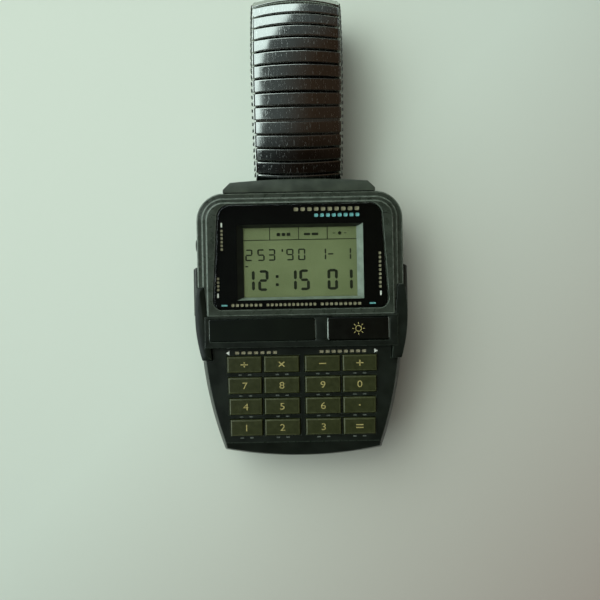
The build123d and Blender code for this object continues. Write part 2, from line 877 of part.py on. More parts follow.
with BuildPart() as back_screws:
    with BuildSketch(Plane.XY.offset(seat_gap)):
        with Locations(*screw_places()):
            Circle(screw_head_radius)
    extrude(amount=screw_head_height)
    with BuildSketch(Plane.XY.offset(seat_gap)):
        with Locations(*screw_places()):
            Circle(screw_radius - seat_gap)
    extrude(amount=screw_length)
    with BuildSketch(Plane.XY.offset(seat_gap)):
        with Locations(*screw_places()):
            Rectangle(2 * screw_head_radius, screw_slot_width)
            Rectangle(screw_slot_width, 2 * screw_head_radius)
    extrude(amount=screw_slot_depth, mode=Mode.SUBTRACT)
save(back_screws.part, "back_screws")

# Pushers: a cap in its pocket, a stem through the case and a clip behind the wall
clip_x = module_half_width - clip_wall_gap
for name, side, y, travel, reach_x in (
    ("mode_pusher", -1, pusher_y, pusher_travel, pusher_reach_x),
    ("start_pusher", 1, pusher_y, pusher_travel, pusher_reach_x),
    ("adjust_pusher", -1, adjust_y, adjust_travel, adjust_reach_x),
):
    inner_x = pusher_pocket_x + travel + pusher_stop_gap
    with BuildPart() as pusher:
        with BuildSketch(Plane.YZ.offset(side * inner_x)):
            with Locations((y, pusher_z)):
                if name == "adjust_pusher":
                    Circle(adjust_radius)
                else:
                    RectangleRounded(pusher_length, pusher_height, pusher_bevel)
        extrude(amount=side * (reach_x - inner_x))
        chamfer(pusher.faces().sort_by(Axis.X)[-1 if side > 0 else 0].edges(), pusher_bevel)
        with BuildSketch(Plane.YZ.offset(side * stem_tip_x)):
            with Locations((y, pusher_z)):
                Circle(stem_radius)
        extrude(amount=side * (inner_x - stem_tip_x))
        with BuildSketch(Plane.YZ.offset(side * clip_x)):
            with Locations((y, pusher_z)):
                Circle(stem_radius + clip_gap)
                Circle(stem_groove_radius, mode=Mode.SUBTRACT)
        extrude(amount=-side * (clip_thickness + clip_gap), mode=Mode.SUBTRACT)
    save(pusher.part, name)
    with BuildPart() as clip:
        with BuildSketch(Plane.YZ.offset(side * (clip_x - clip_gap / 2))):
            with Locations((y, pusher_z)):
                Circle(clip_radius)
                Circle(stem_groove_radius + clip_gap, mode=Mode.SUBTRACT)
            with Locations((y, pusher_z - clip_radius)):
                Rectangle(2 * stem_groove_radius, clip_radius, mode=Mode.SUBTRACT)
        extrude(amount=-side * clip_thickness)
    save(clip.part, name.replace("pusher", "clip"))

# Movement: buzzer on the case back, cell and its strap, board, frame, display and key sheet
with BuildPart() as buzzer_disc:
    with BuildSketch(Plane.XY.offset(back_thickness + buzzer_gap)):
        with Locations((buzzer_x, buzzer_y)):
            Circle(buzzer_radius)
    extrude(amount=buzzer_thickness)
    with BuildSketch(Plane.XY.offset(back_thickness + buzzer_gap + buzzer_thickness)):
        with Locations((buzzer_x, buzzer_y)):
            Circle(buzzer_radius - buzzer_border)
    extrude(amount=buzzer_thickness)
save(buzzer_disc.part, "buzzer_disc")

with BuildPart() as coin_cell:
    with BuildSketch(Plane.XY.offset(cell_z)):
        with Locations((0, cell_y)):
            Circle(cell_radius - cell_cap_inset)
    extrude(amount=cell_cap_height)
    with BuildSketch(Plane.XY.offset(cell_z + cell_cap_height)):
        with Locations((0, cell_y)):
            Circle(cell_radius)
    extrude(amount=cell_thickness - cell_cap_height)
save(coin_cell.part, "coin_cell")

strap_half_length = cell_radius + strap_overhang + strap_thickness
strap_hook_z = strap_z + strap_height
with BuildPart() as battery_clip:
    with BuildSketch(Plane.XZ.offset(-cell_y)):
        with BuildLine():
            Polyline(
                (-strap_half_length, strap_hook_z),
                (-strap_half_length, strap_z),
                (strap_half_length, strap_z),
                (strap_half_length, strap_hook_z),
                (strap_half_length - strap_thickness, strap_hook_z),
                (strap_half_length - strap_thickness, strap_z + strap_thickness),
                (strap_thickness - strap_half_length, strap_z + strap_thickness),
                (strap_thickness - strap_half_length, strap_hook_z),
                close=True,
            )
        make_face()
    extrude(amount=strap_width / 2, both=True)
save(battery_clip.part, "battery_clip")

skirt_half_width = module_half_width - skirt_inset
with BuildPart() as module_frame:
    with BuildSketch(Plane.XY.offset(skirt_z)):
        add(cavity_face(skirt_end_gap))
        Rectangle(2 * skirt_half_width, 4 * module_half_width, mode=Mode.INTERSECT)
    extrude(amount=chamber_top_z - skirt_z)
    with BuildSketch(Plane.XY.offset(skirt_z)):
        add(cavity_face(skirt_end_gap + skirt_thickness))
        Rectangle(2 * (skirt_half_width - skirt_thickness), 4 * module_half_width, mode=Mode.INTERSECT)
    extrude(amount=frame_z - skirt_z, mode=Mode.SUBTRACT)
    with BuildSketch(Plane.XY.offset(frame_z)):
        with Locations((0, lcd_window_y)):
            with GridLocations(0, panel_height - 2 * strip_inset, 1, 2):
                Rectangle(panel_width - 2 * strip_end_inset + 2 * slip_gap, strip_width + 2 * slip_gap)
    extrude(amount=chamber_top_z, mode=Mode.SUBTRACT)
save(module_frame.part, "module_frame")

with BuildPart() as circuit_board:
    with BuildSketch(Plane.XY.offset(board_z)):
        add(cavity_face(skirt_end_gap + skirt_thickness + board_gap))
        Rectangle(
            2 * (skirt_half_width - skirt_thickness - board_gap),
            4 * module_half_width,
            mode=Mode.INTERSECT,
        )
    extrude(amount=board_thickness)
save(circuit_board.part, "circuit_board")

with BuildPart() as main_chip:
    with BuildSketch(Plane.XY.offset(board_z)):
        with Locations((chip_x, chip_y)):
            Rectangle(chip_size, chip_size)
    extrude(amount=-chip_height)
    chamfer(main_chip.faces().sort_by(Axis.Z)[0].edges(), chip_bevel)
save(main_chip.part, "main_chip")

with BuildPart() as quartz_can:
    with BuildSketch(Plane.YZ.offset(quartz_x - quartz_length / 2)):
        with Locations((quartz_y, board_z - quartz_radius - quartz_gap)):
            Circle(quartz_radius)
    extrude(amount=quartz_length)
save(quartz_can.part, "quartz_can")

with BuildPart() as el_backlight:
    with BuildSketch(Plane.XY.offset(chamber_top_z + seat_gap)):
        with Locations((0, lcd_window_y)):
            Rectangle(panel_width - 2 * strip_end_inset, panel_height - 2 * glow_margin)
    extrude(amount=glow_thickness)
save(el_backlight.part, "el_backlight")

with BuildPart() as lcd_panel:
    with BuildSketch(Plane.XY.offset(panel_z)):
        with Locations((0, lcd_window_y)):
            Rectangle(panel_width, panel_height)
    extrude(amount=glass_thickness)
    with BuildSketch(Plane.XY.offset(panel_z + glass_thickness)):
        with Locations((0, lcd_window_y)):
            Rectangle(panel_width, panel_height - 2 * glass_ledge)
    extrude(amount=glass_thickness)
save(lcd_panel.part, "lcd_panel")

with BuildPart() as lcd_connectors:
    with BuildSketch(Plane.XY.offset(board_z + board_thickness + buzzer_gap)):
        with Locations((0, lcd_window_y)):
            with GridLocations(0, panel_height - 2 * strip_inset, 1, 2):
                Rectangle(panel_width - 2 * strip_end_inset, strip_width)
    extrude(amount=panel_z - board_z - board_thickness - 2 * buzzer_gap)
save(lcd_connectors.part, "lcd_connectors")

with BuildPart() as key_sheet:
    with BuildSketch(Plane.XY.offset(chamber_top_z + seat_gap)):
        with Locations((0, key_bay_foot_y + sheet_margin)):
            Rectangle(
                2 * (module_foot_half_width - sheet_margin),
                sheet_top_y - key_bay_foot_y - sheet_margin,
                align=(Align.CENTER, Align.MIN),
            )
    extrude(amount=sheet_thickness)
    with BuildSketch(Plane.XY.offset(chamber_top_z + seat_gap)):
        with Locations(*[(x, y) for _, x, y, _ in keys]):
            Rectangle(pad_width, pad_height)
    extrude(amount=key_foot_z - key_travel - chamber_top_z - 2 * seat_gap)
    with BuildSketch(Plane.XY.offset(chamber_top_z + seat_gap)):
        with Locations((light_x, light_y)):
            Rectangle(pad_width, pad_height)
    extrude(amount=light_flange_z - light_travel - chamber_top_z - 2 * seat_gap)
save(key_sheet.part, "key_sheet")

# Spring bars: a tube with a flange near each end and a thin pin in each lug
for y, name in bars:
    with BuildPart() as spring_bar:
        with BuildSketch(Plane.YZ):
            with Locations((y, bar_z)):
                Circle(bar_radius)
        extrude(amount=bar_length / 2, both=True)
        with BuildSketch(Plane.YZ):
            with Locations((y, bar_z)):
                Circle(bar_pin_radius)
        extrude(amount=slot_half_width + bar_pin_length - seat_gap, both=True)
        for side in (1, -1):
            with BuildSketch(Plane.YZ.offset(side * bar_length / 2)):
                with Locations((y, bar_z)):
                    Circle(bar_flange_radius)
            extrude(amount=-side * bar_flange_length)
    save(spring_bar.part, name)

# Band links, drawn along +Y with their outer side up
crown_low = row_gap / 2


def crown_face(foot):
    """Cross-section of a sleeve over the band's width, with its crowned top."""
    with BuildSketch(Plane.XZ) as face:
        with BuildLine():
            Polyline(
                (link_half_width, upper_edge_height),
                (link_half_width, foot),
                (-link_half_width, foot),
                (-link_half_width, upper_edge_height),
            )
            ThreePointArc(
                (-link_half_width, upper_edge_height),
                (0, upper_crown_height),
                (link_half_width, upper_edge_height),
            )
        make_face()
    return face.sketch


with BuildPart() as upper_link:
    with BuildSketch(Plane.XZ):
        add(crown_face(crown_low))
    extrude(amount=link_length / 2, both=True)
    chamfer(upper_link.edges().filter_by(GeomType.CIRCLE), upper_chamfer)
    chamfer(
        upper_link.faces().sort_by(Axis.Z)[0].edges().filter_by(Axis.X),
        upper_relief_height,
        upper_relief_length,
    )

with BuildPart() as lower_link:
    with BuildSketch(Plane.YZ):
        with BuildLine():
            Polyline(
                (-link_length / 2, -crown_low),
                (link_length / 2, -crown_low),
                (link_length / 2 - lower_draw, -crown_low - lower_thickness),
                (lower_draw - link_length / 2, -crown_low - lower_thickness),
                close=True,
            )
        make_face()
    extrude(amount=lower_half_width, both=True)
    chamfer(lower_link.edges().filter_by(Axis.X), lower_chamfer)

with BuildPart() as side_plates:
    for side in (1, -1):
        with BuildSketch(Plane.YZ.offset(side * (link_half_width + plate_side_gap))):
            with Locations((0, (plate_high - plate_low) / 2)):
                Rectangle(plate_width, plate_high + plate_low)
        extrude(amount=side * plate_thickness)


def band_location(reach):
    """Location on the middle line, turned to its slope."""
    y, z, slope = band_place(reach)
    return Location((0, y, z), (slope, 0, 0))


first_link = 0
for number, count in enumerate(links_in_segment, start=1):
    reaches = [end_reach_top + link_pitch * index for index in range(first_link, first_link + count)]
    with BuildPart() as segment:
        with Locations(*[band_location(reach) for reach in reaches]):
            add(upper_link.part)
        with Locations(*[band_location(reach + link_pitch / 2) for reach in reaches]):
            add(lower_link.part)
        for share in plate_shares:
            with Locations(*[band_location(reach + link_pitch * share) for reach in reaches]):
                add(side_plates.part)
    save(segment.part, f"band_links_{number}")
    first_link += count


def end_piece(upper_reach, lower_reach):
    """Band end along +Y: a barrel for the spring bar, a crowned cover and a lower tongue."""
    with BuildPart() as piece:
        with BuildSketch(Plane.YZ):
            Circle(barrel_radius)
        extrude(amount=lower_half_width, both=True)
        with BuildSketch(Plane.XZ.offset(-crown_start)):
            add(crown_face(-crown_low - lower_thickness))
        extrude(amount=crown_start - upper_reach)
        with BuildSketch(Plane.YZ):
            with Locations((0, -crown_low)):
                Rectangle(lower_reach, lower_thickness, align=(Align.MIN, Align.MAX))
        extrude(amount=lower_half_width, both=True)
        with BuildSketch(Plane.YZ):
            with BuildLine():
                Polyline(
                    (lower_reach, crown_low),
                    (lower_reach - tongue_draw, -crown_low - lower_thickness),
                    (lower_reach + upper_reach, -crown_low - lower_thickness),
                    (lower_reach + upper_reach, crown_low),
                    close=True,
                )
            make_face()
        extrude(amount=link_half_width, both=True, mode=Mode.SUBTRACT)
        with BuildSketch(Plane.YZ):
            with Locations((upper_reach, -crown_low)):
                Rectangle(link_pitch + upper_reach, 2 * upper_crown_height, align=(Align.MIN, Align.MIN))
        extrude(amount=link_half_width, both=True, mode=Mode.SUBTRACT)
        with BuildSketch(Plane.YZ):
            Circle(bar_radius + run_gap)
        extrude(amount=link_half_width, both=True, mode=Mode.SUBTRACT)
    return piece.part


def chord(reach, bar_y):
    """Distance and slope of the straight line from a spring bar to a place on the middle line."""
    y, z, _ = band_place(reach)
    return math.hypot(y - bar_y, z - bar_z), math.degrees(math.atan2(z - bar_z, y - bar_y))


top_chord, top_slope = chord(end_reach_top, bar_top_y)
with BuildPart() as end_piece_12:
    with Locations(Location((0, bar_top_y, bar_z), (top_slope, 0, 0))):
        add(end_piece(top_chord - link_pitch / 2 - link_gap / 2, top_chord - link_gap / 2))
save(end_piece_12.part, "end_piece_12")

foot_chord, foot_slope = chord(band_length - end_reach_foot, bar_foot_y)
foot_piece = mirror(end_piece(foot_chord + link_length / 2, foot_chord - link_gap / 2), about=Plane.XZ)
with BuildPart() as end_piece_6:
    with Locations(Location((0, bar_foot_y, bar_z), (foot_slope + 180, 0, 0))):
        add(foot_piece)
save(end_piece_6.part, "end_piece_6")

# Places of the band's pivots, on the middle line
first_link = 0
for number, count in enumerate(links_in_segment, start=1):
    y, z, _ = band_place(end_reach_top + link_pitch * first_link)
    print(f"pivot before band_links_{number}: y {y:.4f} z {z:.4f}")
    first_link += count
y, z, _ = band_place(end_reach_top + link_pitch * first_link)
print(f"pivot before end_piece_6: y {y:.4f} z {z:.4f}")
print(f"link pitch {link_pitch:.4f} band length {band_length:.3f} fold radius {fold_radius:.3f}")
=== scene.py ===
import json
import math

import bpy
from mathutils import Matrix, Vector

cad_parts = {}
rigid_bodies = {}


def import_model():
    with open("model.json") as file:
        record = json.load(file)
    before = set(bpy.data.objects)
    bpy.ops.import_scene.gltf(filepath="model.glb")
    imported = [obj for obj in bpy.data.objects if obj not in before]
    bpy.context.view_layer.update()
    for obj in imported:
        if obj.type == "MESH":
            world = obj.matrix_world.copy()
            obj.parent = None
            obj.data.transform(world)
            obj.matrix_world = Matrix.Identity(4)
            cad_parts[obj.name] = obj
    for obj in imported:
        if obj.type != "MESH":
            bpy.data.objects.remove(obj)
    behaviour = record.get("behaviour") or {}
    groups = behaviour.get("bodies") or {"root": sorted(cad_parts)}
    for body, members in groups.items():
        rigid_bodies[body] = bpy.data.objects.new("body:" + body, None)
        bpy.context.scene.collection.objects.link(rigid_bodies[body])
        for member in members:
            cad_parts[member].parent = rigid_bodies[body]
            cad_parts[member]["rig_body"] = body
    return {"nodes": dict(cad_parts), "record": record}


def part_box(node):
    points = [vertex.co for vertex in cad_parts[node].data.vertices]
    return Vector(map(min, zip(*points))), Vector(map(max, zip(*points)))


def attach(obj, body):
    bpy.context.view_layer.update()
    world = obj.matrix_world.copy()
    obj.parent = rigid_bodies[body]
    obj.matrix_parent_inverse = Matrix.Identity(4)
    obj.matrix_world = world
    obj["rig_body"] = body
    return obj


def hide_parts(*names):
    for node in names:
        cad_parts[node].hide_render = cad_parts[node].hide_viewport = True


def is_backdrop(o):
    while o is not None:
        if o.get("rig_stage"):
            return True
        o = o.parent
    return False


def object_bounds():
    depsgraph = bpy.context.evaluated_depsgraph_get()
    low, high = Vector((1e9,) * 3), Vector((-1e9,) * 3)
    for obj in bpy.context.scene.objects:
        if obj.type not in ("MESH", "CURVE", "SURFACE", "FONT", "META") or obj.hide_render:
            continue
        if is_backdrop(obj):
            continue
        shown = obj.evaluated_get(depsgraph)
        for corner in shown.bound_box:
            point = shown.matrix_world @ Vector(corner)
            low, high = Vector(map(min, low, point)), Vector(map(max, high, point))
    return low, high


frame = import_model()
cad_low, cad_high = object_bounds()

MM = 0.001

# Heights of the faces that carry print, in millimetres above the case back
DECK_Z = 7.6
KEY_TOP_Z = 8.2
LIGHT_TOP_Z = 8.95
GLASS_UNDER_Z = 8.02
PANEL_TOP_Z = 6.8

# Each print is a thin plate: its thickness and the height of its middle on each face
PRINT_THICKNESS = 0.02
DECK_PRINT_Z = DECK_Z + 0.006
KEY_PRINT_Z = KEY_TOP_Z + 0.006
LIGHT_PRINT_Z = LIGHT_TOP_Z + 0.004
PANEL_PRINT_Z = PANEL_TOP_Z + 0.012
BORDER_PRINT_Z = GLASS_UNDER_Z - 0.025

# Most values of a noise pattern lie between these two
NOISE_LOW = 0.3
NOISE_HIGH = 0.7


# Materials
def linear(colour):
    """An sRGB hex value as linear red, green, blue and full alpha."""
    parts = [int(colour[i:i + 2], 16) / 255 for i in (1, 3, 5)]
    return tuple(c / 12.92 if c <= 0.04045 else ((c + 0.055) / 1.055) ** 2.4 for c in parts) + (1.0,)


def add_node(tree, kind, inputs=None, **settings):
    """Add one node, set its options, then fill or link its inputs."""
    made = tree.nodes.new("ShaderNode" + kind)
    for option, value in settings.items():
        setattr(made, option, value)
    for socket, value in (inputs or {}).items():
        if isinstance(value, bpy.types.NodeSocket):
            tree.links.new(value, made.inputs[socket])
        else:
            made.inputs[socket].default_value = value
    return made


def new_tree(name):
    """An empty material and its node tree."""
    material = bpy.data.materials.new(name)
    material.use_nodes = True
    material.node_tree.nodes.clear()
    return material, material.node_tree


def pattern(tree, size_mm, stretch=(1, 1, 1), detail=3.0, distortion=0.0):
    """Noise whose blotches are about size_mm across, drawn out by stretch."""
    place = add_node(tree, "TexCoord")
    spread = add_node(tree, "Mapping", {"Vector": place.outputs["Object"], "Scale": stretch})
    noise = add_node(tree, "TexNoise", {
        "Vector": spread.outputs["Vector"], "Scale": 1 / (size_mm * MM),
        "Detail": detail, "Distortion": distortion,
    })
    return noise.outputs["Fac"]


def finish(
    name, dull, bright, blotch, rough, bump=None, metallic=0.0, ior=1.5, stretch=(1, 1, 1), coat=0.0,
):
    """A surface with two tones in blotches (mm), a roughness range and a relief (grain mm, depth mm)."""
    material, tree = new_tree(name)
    tone = pattern(tree, blotch, stretch, detail=5.0)
    share = add_node(tree, "MapRange", {"Value": tone, "From Min": 0.35, "From Max": 0.68})
    colour = add_node(tree, "Mix", {
        0: share.outputs["Result"], 6: linear(dull), 7: linear(bright),
    }, data_type="RGBA")
    # the polish changes in smaller blotches than the tone
    polish = add_node(tree, "MapRange", {
        "Value": pattern(tree, blotch * 0.43, stretch), "From Min": NOISE_LOW, "From Max": NOISE_HIGH,
        "To Min": rough[0], "To Max": rough[1],
    })
    inputs = {
        "Base Color": colour.outputs[2], "Roughness": polish.outputs["Result"],
        "Metallic": metallic, "IOR": ior, "Coat Weight": coat, "Coat Roughness": 0.08,
    }
    if bump:
        grain = pattern(tree, bump[0], stretch)
        relief = add_node(tree, "Bump", {"Height": grain, "Distance": bump[1] * MM, "Strength": 0.6})
        inputs["Normal"] = relief.outputs["Normal"]
    shader = add_node(tree, "BsdfPrincipled", inputs)
    add_node(tree, "OutputMaterial", {"Surface": shader.outputs["BSDF"]})
    return material


def polished_steel(name, dull, bright, streak, along):
    """Polished stainless steel: a mirror, crossed by brighter hairlines of the given spacing (mm)."""
    material, tree = new_tree(name)
    hair = pattern(tree, streak, along, detail=2.0)
    slant = pattern(tree, streak * 3, (1, 0.55, 0.55), detail=4.0, distortion=0.6)
    # a hairline shows only where a patch of the slanting pattern lets it
    long_lines = add_node(tree, "MapRange", {"Value": hair, "From Min": 0.54, "From Max": 0.68})
    patches = add_node(tree, "MapRange", {"Value": slant, "From Min": 0.44, "From Max": 0.62})
    lines = add_node(tree, "Math", {
        0: long_lines.outputs["Result"], 1: patches.outputs["Result"],
    }, operation="MULTIPLY").outputs[0]
    colour = add_node(tree, "Mix", {0: lines, 6: linear(dull), 7: linear(bright)}, data_type="RGBA")
    smear = add_node(tree, "MapRange", {
        "Value": pattern(tree, 2.4), "From Min": NOISE_LOW, "From Max": NOISE_HIGH,
        "To Min": 0.05, "To Max": 0.16,
    })
    rough = add_node(tree, "Math", {
        0: lines, 1: 0.38, 2: smear.outputs["Result"],
    }, operation="MULTIPLY_ADD").outputs[0]
    relief = add_node(tree, "Bump", {"Height": hair, "Distance": 0.004 * MM, "Strength": 0.5})
    shader = add_node(tree, "BsdfPrincipled", {
        "Base Color": colour.outputs[2], "Metallic": 1.0, "Roughness": rough,
        "Normal": relief.outputs["Normal"],
    })
    add_node(tree, "OutputMaterial", {"Surface": shader.outputs["BSDF"]})
    return material


def clear_acrylic(name):
    """Flat cast acrylic: lets the display through and keeps a soft sheen."""
    material, tree = new_tree(name)
    through = add_node(tree, "BsdfTransparent", {"Color": linear("#fafcfa")})
    rough = add_node(tree, "MapRange", {
        "Value": pattern(tree, 1.6, (1, 4, 1)), "From Min": NOISE_LOW, "From Max": NOISE_HIGH,
        "To Min": 0.04, "To Max": 0.06,
    })
    sheen = add_node(tree, "BsdfGlossy", {
        "Color": linear("#ffffff"), "Roughness": rough.outputs["Result"],
    })
    edge = add_node(tree, "Fresnel", {"IOR": 1.33})
    # only the outer faces have a sheen: light that leaves the plate from inside goes straight on
    inside = add_node(tree, "NewGeometry").outputs["Backfacing"]
    outside = add_node(tree, "Math", {0: 1.0, 1: inside}, operation="SUBTRACT").outputs[0]
    share = add_node(tree, "Math", {0: edge.outputs[0], 1: outside}, operation="MULTIPLY").outputs[0]
    both = add_node(tree, "MixShader", {0: share, 1: through.outputs[0], 2: sheen.outputs[0]})
    add_node(tree, "OutputMaterial", {"Surface": both.outputs[0]})
    return material


def display_glass(name):
    """Reflective liquid-crystal glass: an olive ground with faint clouds, fine flecks and a dull sheen."""
    material, tree = new_tree(name)
    cloud = add_node(tree, "MapRange", {
        "Value": pattern(tree, 7.0), "From Min": NOISE_LOW, "From Max": NOISE_HIGH,
    }).outputs["Result"]
    ground = add_node(tree, "Mix", {
        0: cloud, 6: linear("#6b7550"), 7: linear("#76805a"),
    }, data_type="RGBA")
    speck = add_node(tree, "MapRange", {
        "Value": pattern(tree, 0.22, detail=1.0), "From Min": 0.5, "From Max": 0.75, "To Max": 0.25,
    })
    fleck = add_node(tree, "Mix", {
        0: speck.outputs["Result"], 6: ground.outputs[2], 7: linear("#5c6545"),
    }, data_type="RGBA")
    rough = add_node(tree, "MapRange", {"Value": cloud, "To Min": 0.42, "To Max": 0.55})
    shader = add_node(tree, "BsdfPrincipled", {
        "Base Color": fleck.outputs[2], "Roughness": rough.outputs["Result"], "IOR": 1.45,
    })
    add_node(tree, "OutputMaterial", {"Surface": shader.outputs["BSDF"]})
    return material


# Moulded polyurethane resin: a greenish black that is greyer where hands have rubbed it
case_resin = finish("moulded_case_resin", "#0e130e", "#191f19", 3.2, (0.3, 0.44), (0.16, 0.012), ior=1.4)
# The same resin at its edges: paler and shinier, partly rubbed wear and partly a painted highlight, so
# that every rim draws a light line
case_wear_and_highlight = finish("rubbed_resin_edge_and_highlight", "#1c231c", "#2f372f", 1.1, (0.24, 0.36), (0.12, 0.008))
# The hood's top is drawn paler than the case: painted light, for the light that the sloping hood catches
hood_painted_light = finish("hood_resin_painted_light", "#262d24", "#3a4237", 2.4, (0.3, 0.42), (0.14, 0.01))
# Moulded ABS: a little glossier than the case, with the same green cast
bezel_resin = finish("moulded_bezel_abs", "#242b23", "#343c33", 2.6, (0.24, 0.36), (0.14, 0.01))
# its rims: paler, partly rubbed wear and partly a painted highlight along each rim
bezel_wear_and_highlight = finish("rubbed_abs_edge_and_highlight", "#4a534a", "#6b756a", 0.9, (0.18, 0.3), (0.1, 0.006))
# Black ABS with a fine spark-eroded grain: soft broad highlights on the pushers
pusher_resin = finish("grained_pusher_abs", "#121411", "#1d201b", 1.4, (0.3, 0.45), (0.09, 0.01))
# its rims: paler, partly rubbed wear and partly a painted highlight
pusher_wear_and_highlight = finish("rubbed_pusher_edge_and_highlight", "#2a2e28", "#454b43", 0.8, (0.25, 0.36), (0.09, 0.006))
# Printed black on the display's surround: nearly no tone of its own
black_mask = finish("printed_black_surround", "#020302", "#040604", 4.0, (0.5, 0.6), ior=1.15)
# The window's sloped walls in two copies of one coat: a painted light grey on the two that face the light,
# painted shade on the other two
mask_wall_painted_light = finish("window_wall_painted_light", "#6c776d", "#7f8a80", 1.5, (0.35, 0.5), (0.1, 0.004))
mask_wall_painted_shade = finish("window_wall_painted_shade", "#161a15", "#20251f", 1.5, (0.35, 0.5), (0.1, 0.004))
# Silicone: a matt black line
seal_rubber = finish("silicone_seal", "#090b09", "#101210", 1.0, (0.6, 0.75))
# Cast acrylic plate, black behind its gloss
insert_gloss = finish(
    "gloss_black_acrylic", "#070d09", "#0c130c", 5.0, (0.07, 0.18), (1.8, 0.004), coat=0.4,
)
# painted highlight: the pale colour of the plate's end chamfers stands for the light they catch
insert_end_highlight = finish("acrylic_end_painted_highlight", "#8a968c", "#aab4ab", 0.7, (0.1, 0.2))
# Gloss black ABS cap
light_gloss = finish("gloss_light_cap", "#060806", "#0d100c", 2.2, (0.1, 0.22), (1.2, 0.003))
# painted highlight: the pale colour of the cap's end chamfers stands for the light they catch
light_end_highlight = finish("cap_end_painted_highlight", "#6d766e", "#8f988f", 0.8, (0.12, 0.2))
# Moulded keycaps: a warm olive with dust in its grain, and paler rims that are partly rubbed wear and
# partly a painted highlight
key_olive = finish(
    "moulded_olive_keycap", "#24280f", "#2f3319", 0.9, (0.36, 0.5), (0.12, 0.008), ior=1.42,
)
key_wear_and_highlight = finish("rubbed_keycap_rim_and_highlight", "#353920", "#4b4f33", 0.5, (0.3, 0.4), (0.08, 0.004))
# Screen-printed inks
khaki_ink = finish("khaki_key_ink", "#8b814c", "#a49a61", 0.4, (0.5, 0.65))
white_ink = finish("white_dial_ink", "#c9cfc6", "#dde2da", 0.4, (0.5, 0.6))
teal_ink = finish("teal_dial_ink", "#5d9da0", "#74b2b2", 0.4, (0.5, 0.6))
faint_ink = finish("rubbed_grey_ink", "#464d47", "#687068", 0.3, (0.5, 0.65))
dial_khaki = finish("khaki_dial_ink", "#7b7860", "#8f8c74", 0.4, (0.5, 0.6))
# Polarised segments of the display: dark olive, no gloss
segment_dark = finish("display_segment", "#14190a", "#1b210f", 0.8, (0.5, 0.6))
# Polished stainless steel of the expanding band: it mirrors the room, cut by hairlines
band_steel = polished_steel("polished_band_steel", "#b2b6b0", "#dde2dc", 0.09, (1, 0.045, 0.045))
band_edge = finish("rolled_sleeve_edge", "#b8bbb4", "#d6d9d1", 0.6, (0.12, 0.24), metallic=1.0)
# Brushed stainless steel of the back: fine lines along the case
back_steel = finish(
    "brushed_back_steel", "#8f918c", "#b3b5af", 0.12, (0.24, 0.4), (0.08, 0.003), 1.0,
    stretch=(1, 0.03, 1),
)
back_edge = finish("turned_back_edge", "#a3a5a0", "#bfc1bb", 0.3, (0.18, 0.3), metallic=1.0)
# Darkened steel of the screws, and the band's plates in the same dark tone as painted shade along the
# band's edges; and drawn wire with its lines along the bar
screw_steel = finish("dark_screw_steel_and_plate_shade", "#6b6d69", "#8e908b", 0.3, (0.25, 0.42), (0.08, 0.003), 1.0)
spring_steel = finish(
    "drawn_spring_steel", "#8b8c88", "#a8aaa4", 0.2, (0.2, 0.35), (0.1, 0.003), 1.0,
    stretch=(0.05, 1, 1),
)
crystal_acrylic = clear_acrylic("clear_cast_acrylic")
lcd_glass = display_glass("reflective_display_glass")
# Inside pieces, each by its own trade finish
holder_plastic = finish("moulded_holder_pom", "#c9c6b8", "#d6d3c6", 1.5, (0.45, 0.6), (0.2, 0.006))
board_laminate = finish("green_board_laminate", "#1f4a2c", "#2c5f3a", 0.5, (0.35, 0.5), (0.3, 0.01))
chip_resin = finish("moulded_epoxy_chip", "#17181a", "#222426", 0.3, (0.5, 0.62), (0.08, 0.004))
can_metal = finish("drawn_nickel_can", "#9b9a93", "#b4b3ab", 0.4, (0.22, 0.34), metallic=1.0)
cell_steel = finish("plated_cell_can", "#a5a7a4", "#bcbeb9", 0.6, (0.2, 0.34), (0.2, 0.002), 1.0)
glow_sheet = finish("light_green_phosphor", "#9fb5a0", "#b2c6b1", 0.5, (0.5, 0.62))
strip_rubber = finish(
    "striped_carbon_rubber", "#26282a", "#6e7072", 0.1, (0.6, 0.7), stretch=(1, 0.05, 0.05),
)
buzzer_brass = finish("rolled_brass_disc", "#a88c48", "#c0a55e", 0.5, (0.25, 0.4), (0.15, 0.003), 1.0)
key_rubber = finish("silicone_key_sheet", "#4a4c4e", "#5b5d5f", 0.6, (0.6, 0.72), (0.2, 0.006))

# The finish of each material slot in the record
slot_finish = {
    "case_resin": case_resin, "bezel_resin": bezel_resin, "crystal": crystal_acrylic,
    "black_mask": black_mask, "seal_rubber": seal_rubber, "insert_panel": insert_gloss,
    "key_resin": key_olive, "light_cap": light_gloss, "pusher_resin": pusher_resin,
    "back_steel": back_steel, "screw_steel": screw_steel, "spring_steel": spring_steel,
    "holder_plastic": holder_plastic, "board_laminate": board_laminate, "chip_resin": chip_resin,
    "can_metal": can_metal, "cell_steel": cell_steel, "lcd_glass": lcd_glass,
    "glow_sheet": glow_sheet, "strip_rubber": strip_rubber, "buzzer_brass": buzzer_brass,
    "key_rubber": key_rubber, "band_steel": band_steel,
}


# Ways of working
def pick(piece):
    """Make one piece the only selected and the active one."""
    bpy.ops.object.select_all(action="DESELECT")
    piece.select_set(True)
    bpy.context.view_layer.objects.active = piece


def mesh_tool(piece, *steps):
    """Run edit-mode tools, one after the other, on all of a piece."""
    pick(piece)
    bpy.ops.object.mode_set(mode="EDIT")
    bpy.ops.mesh.select_all(action="SELECT")
    for tool, settings in steps:
        tool(**settings)
    bpy.ops.object.mode_set(mode="OBJECT")


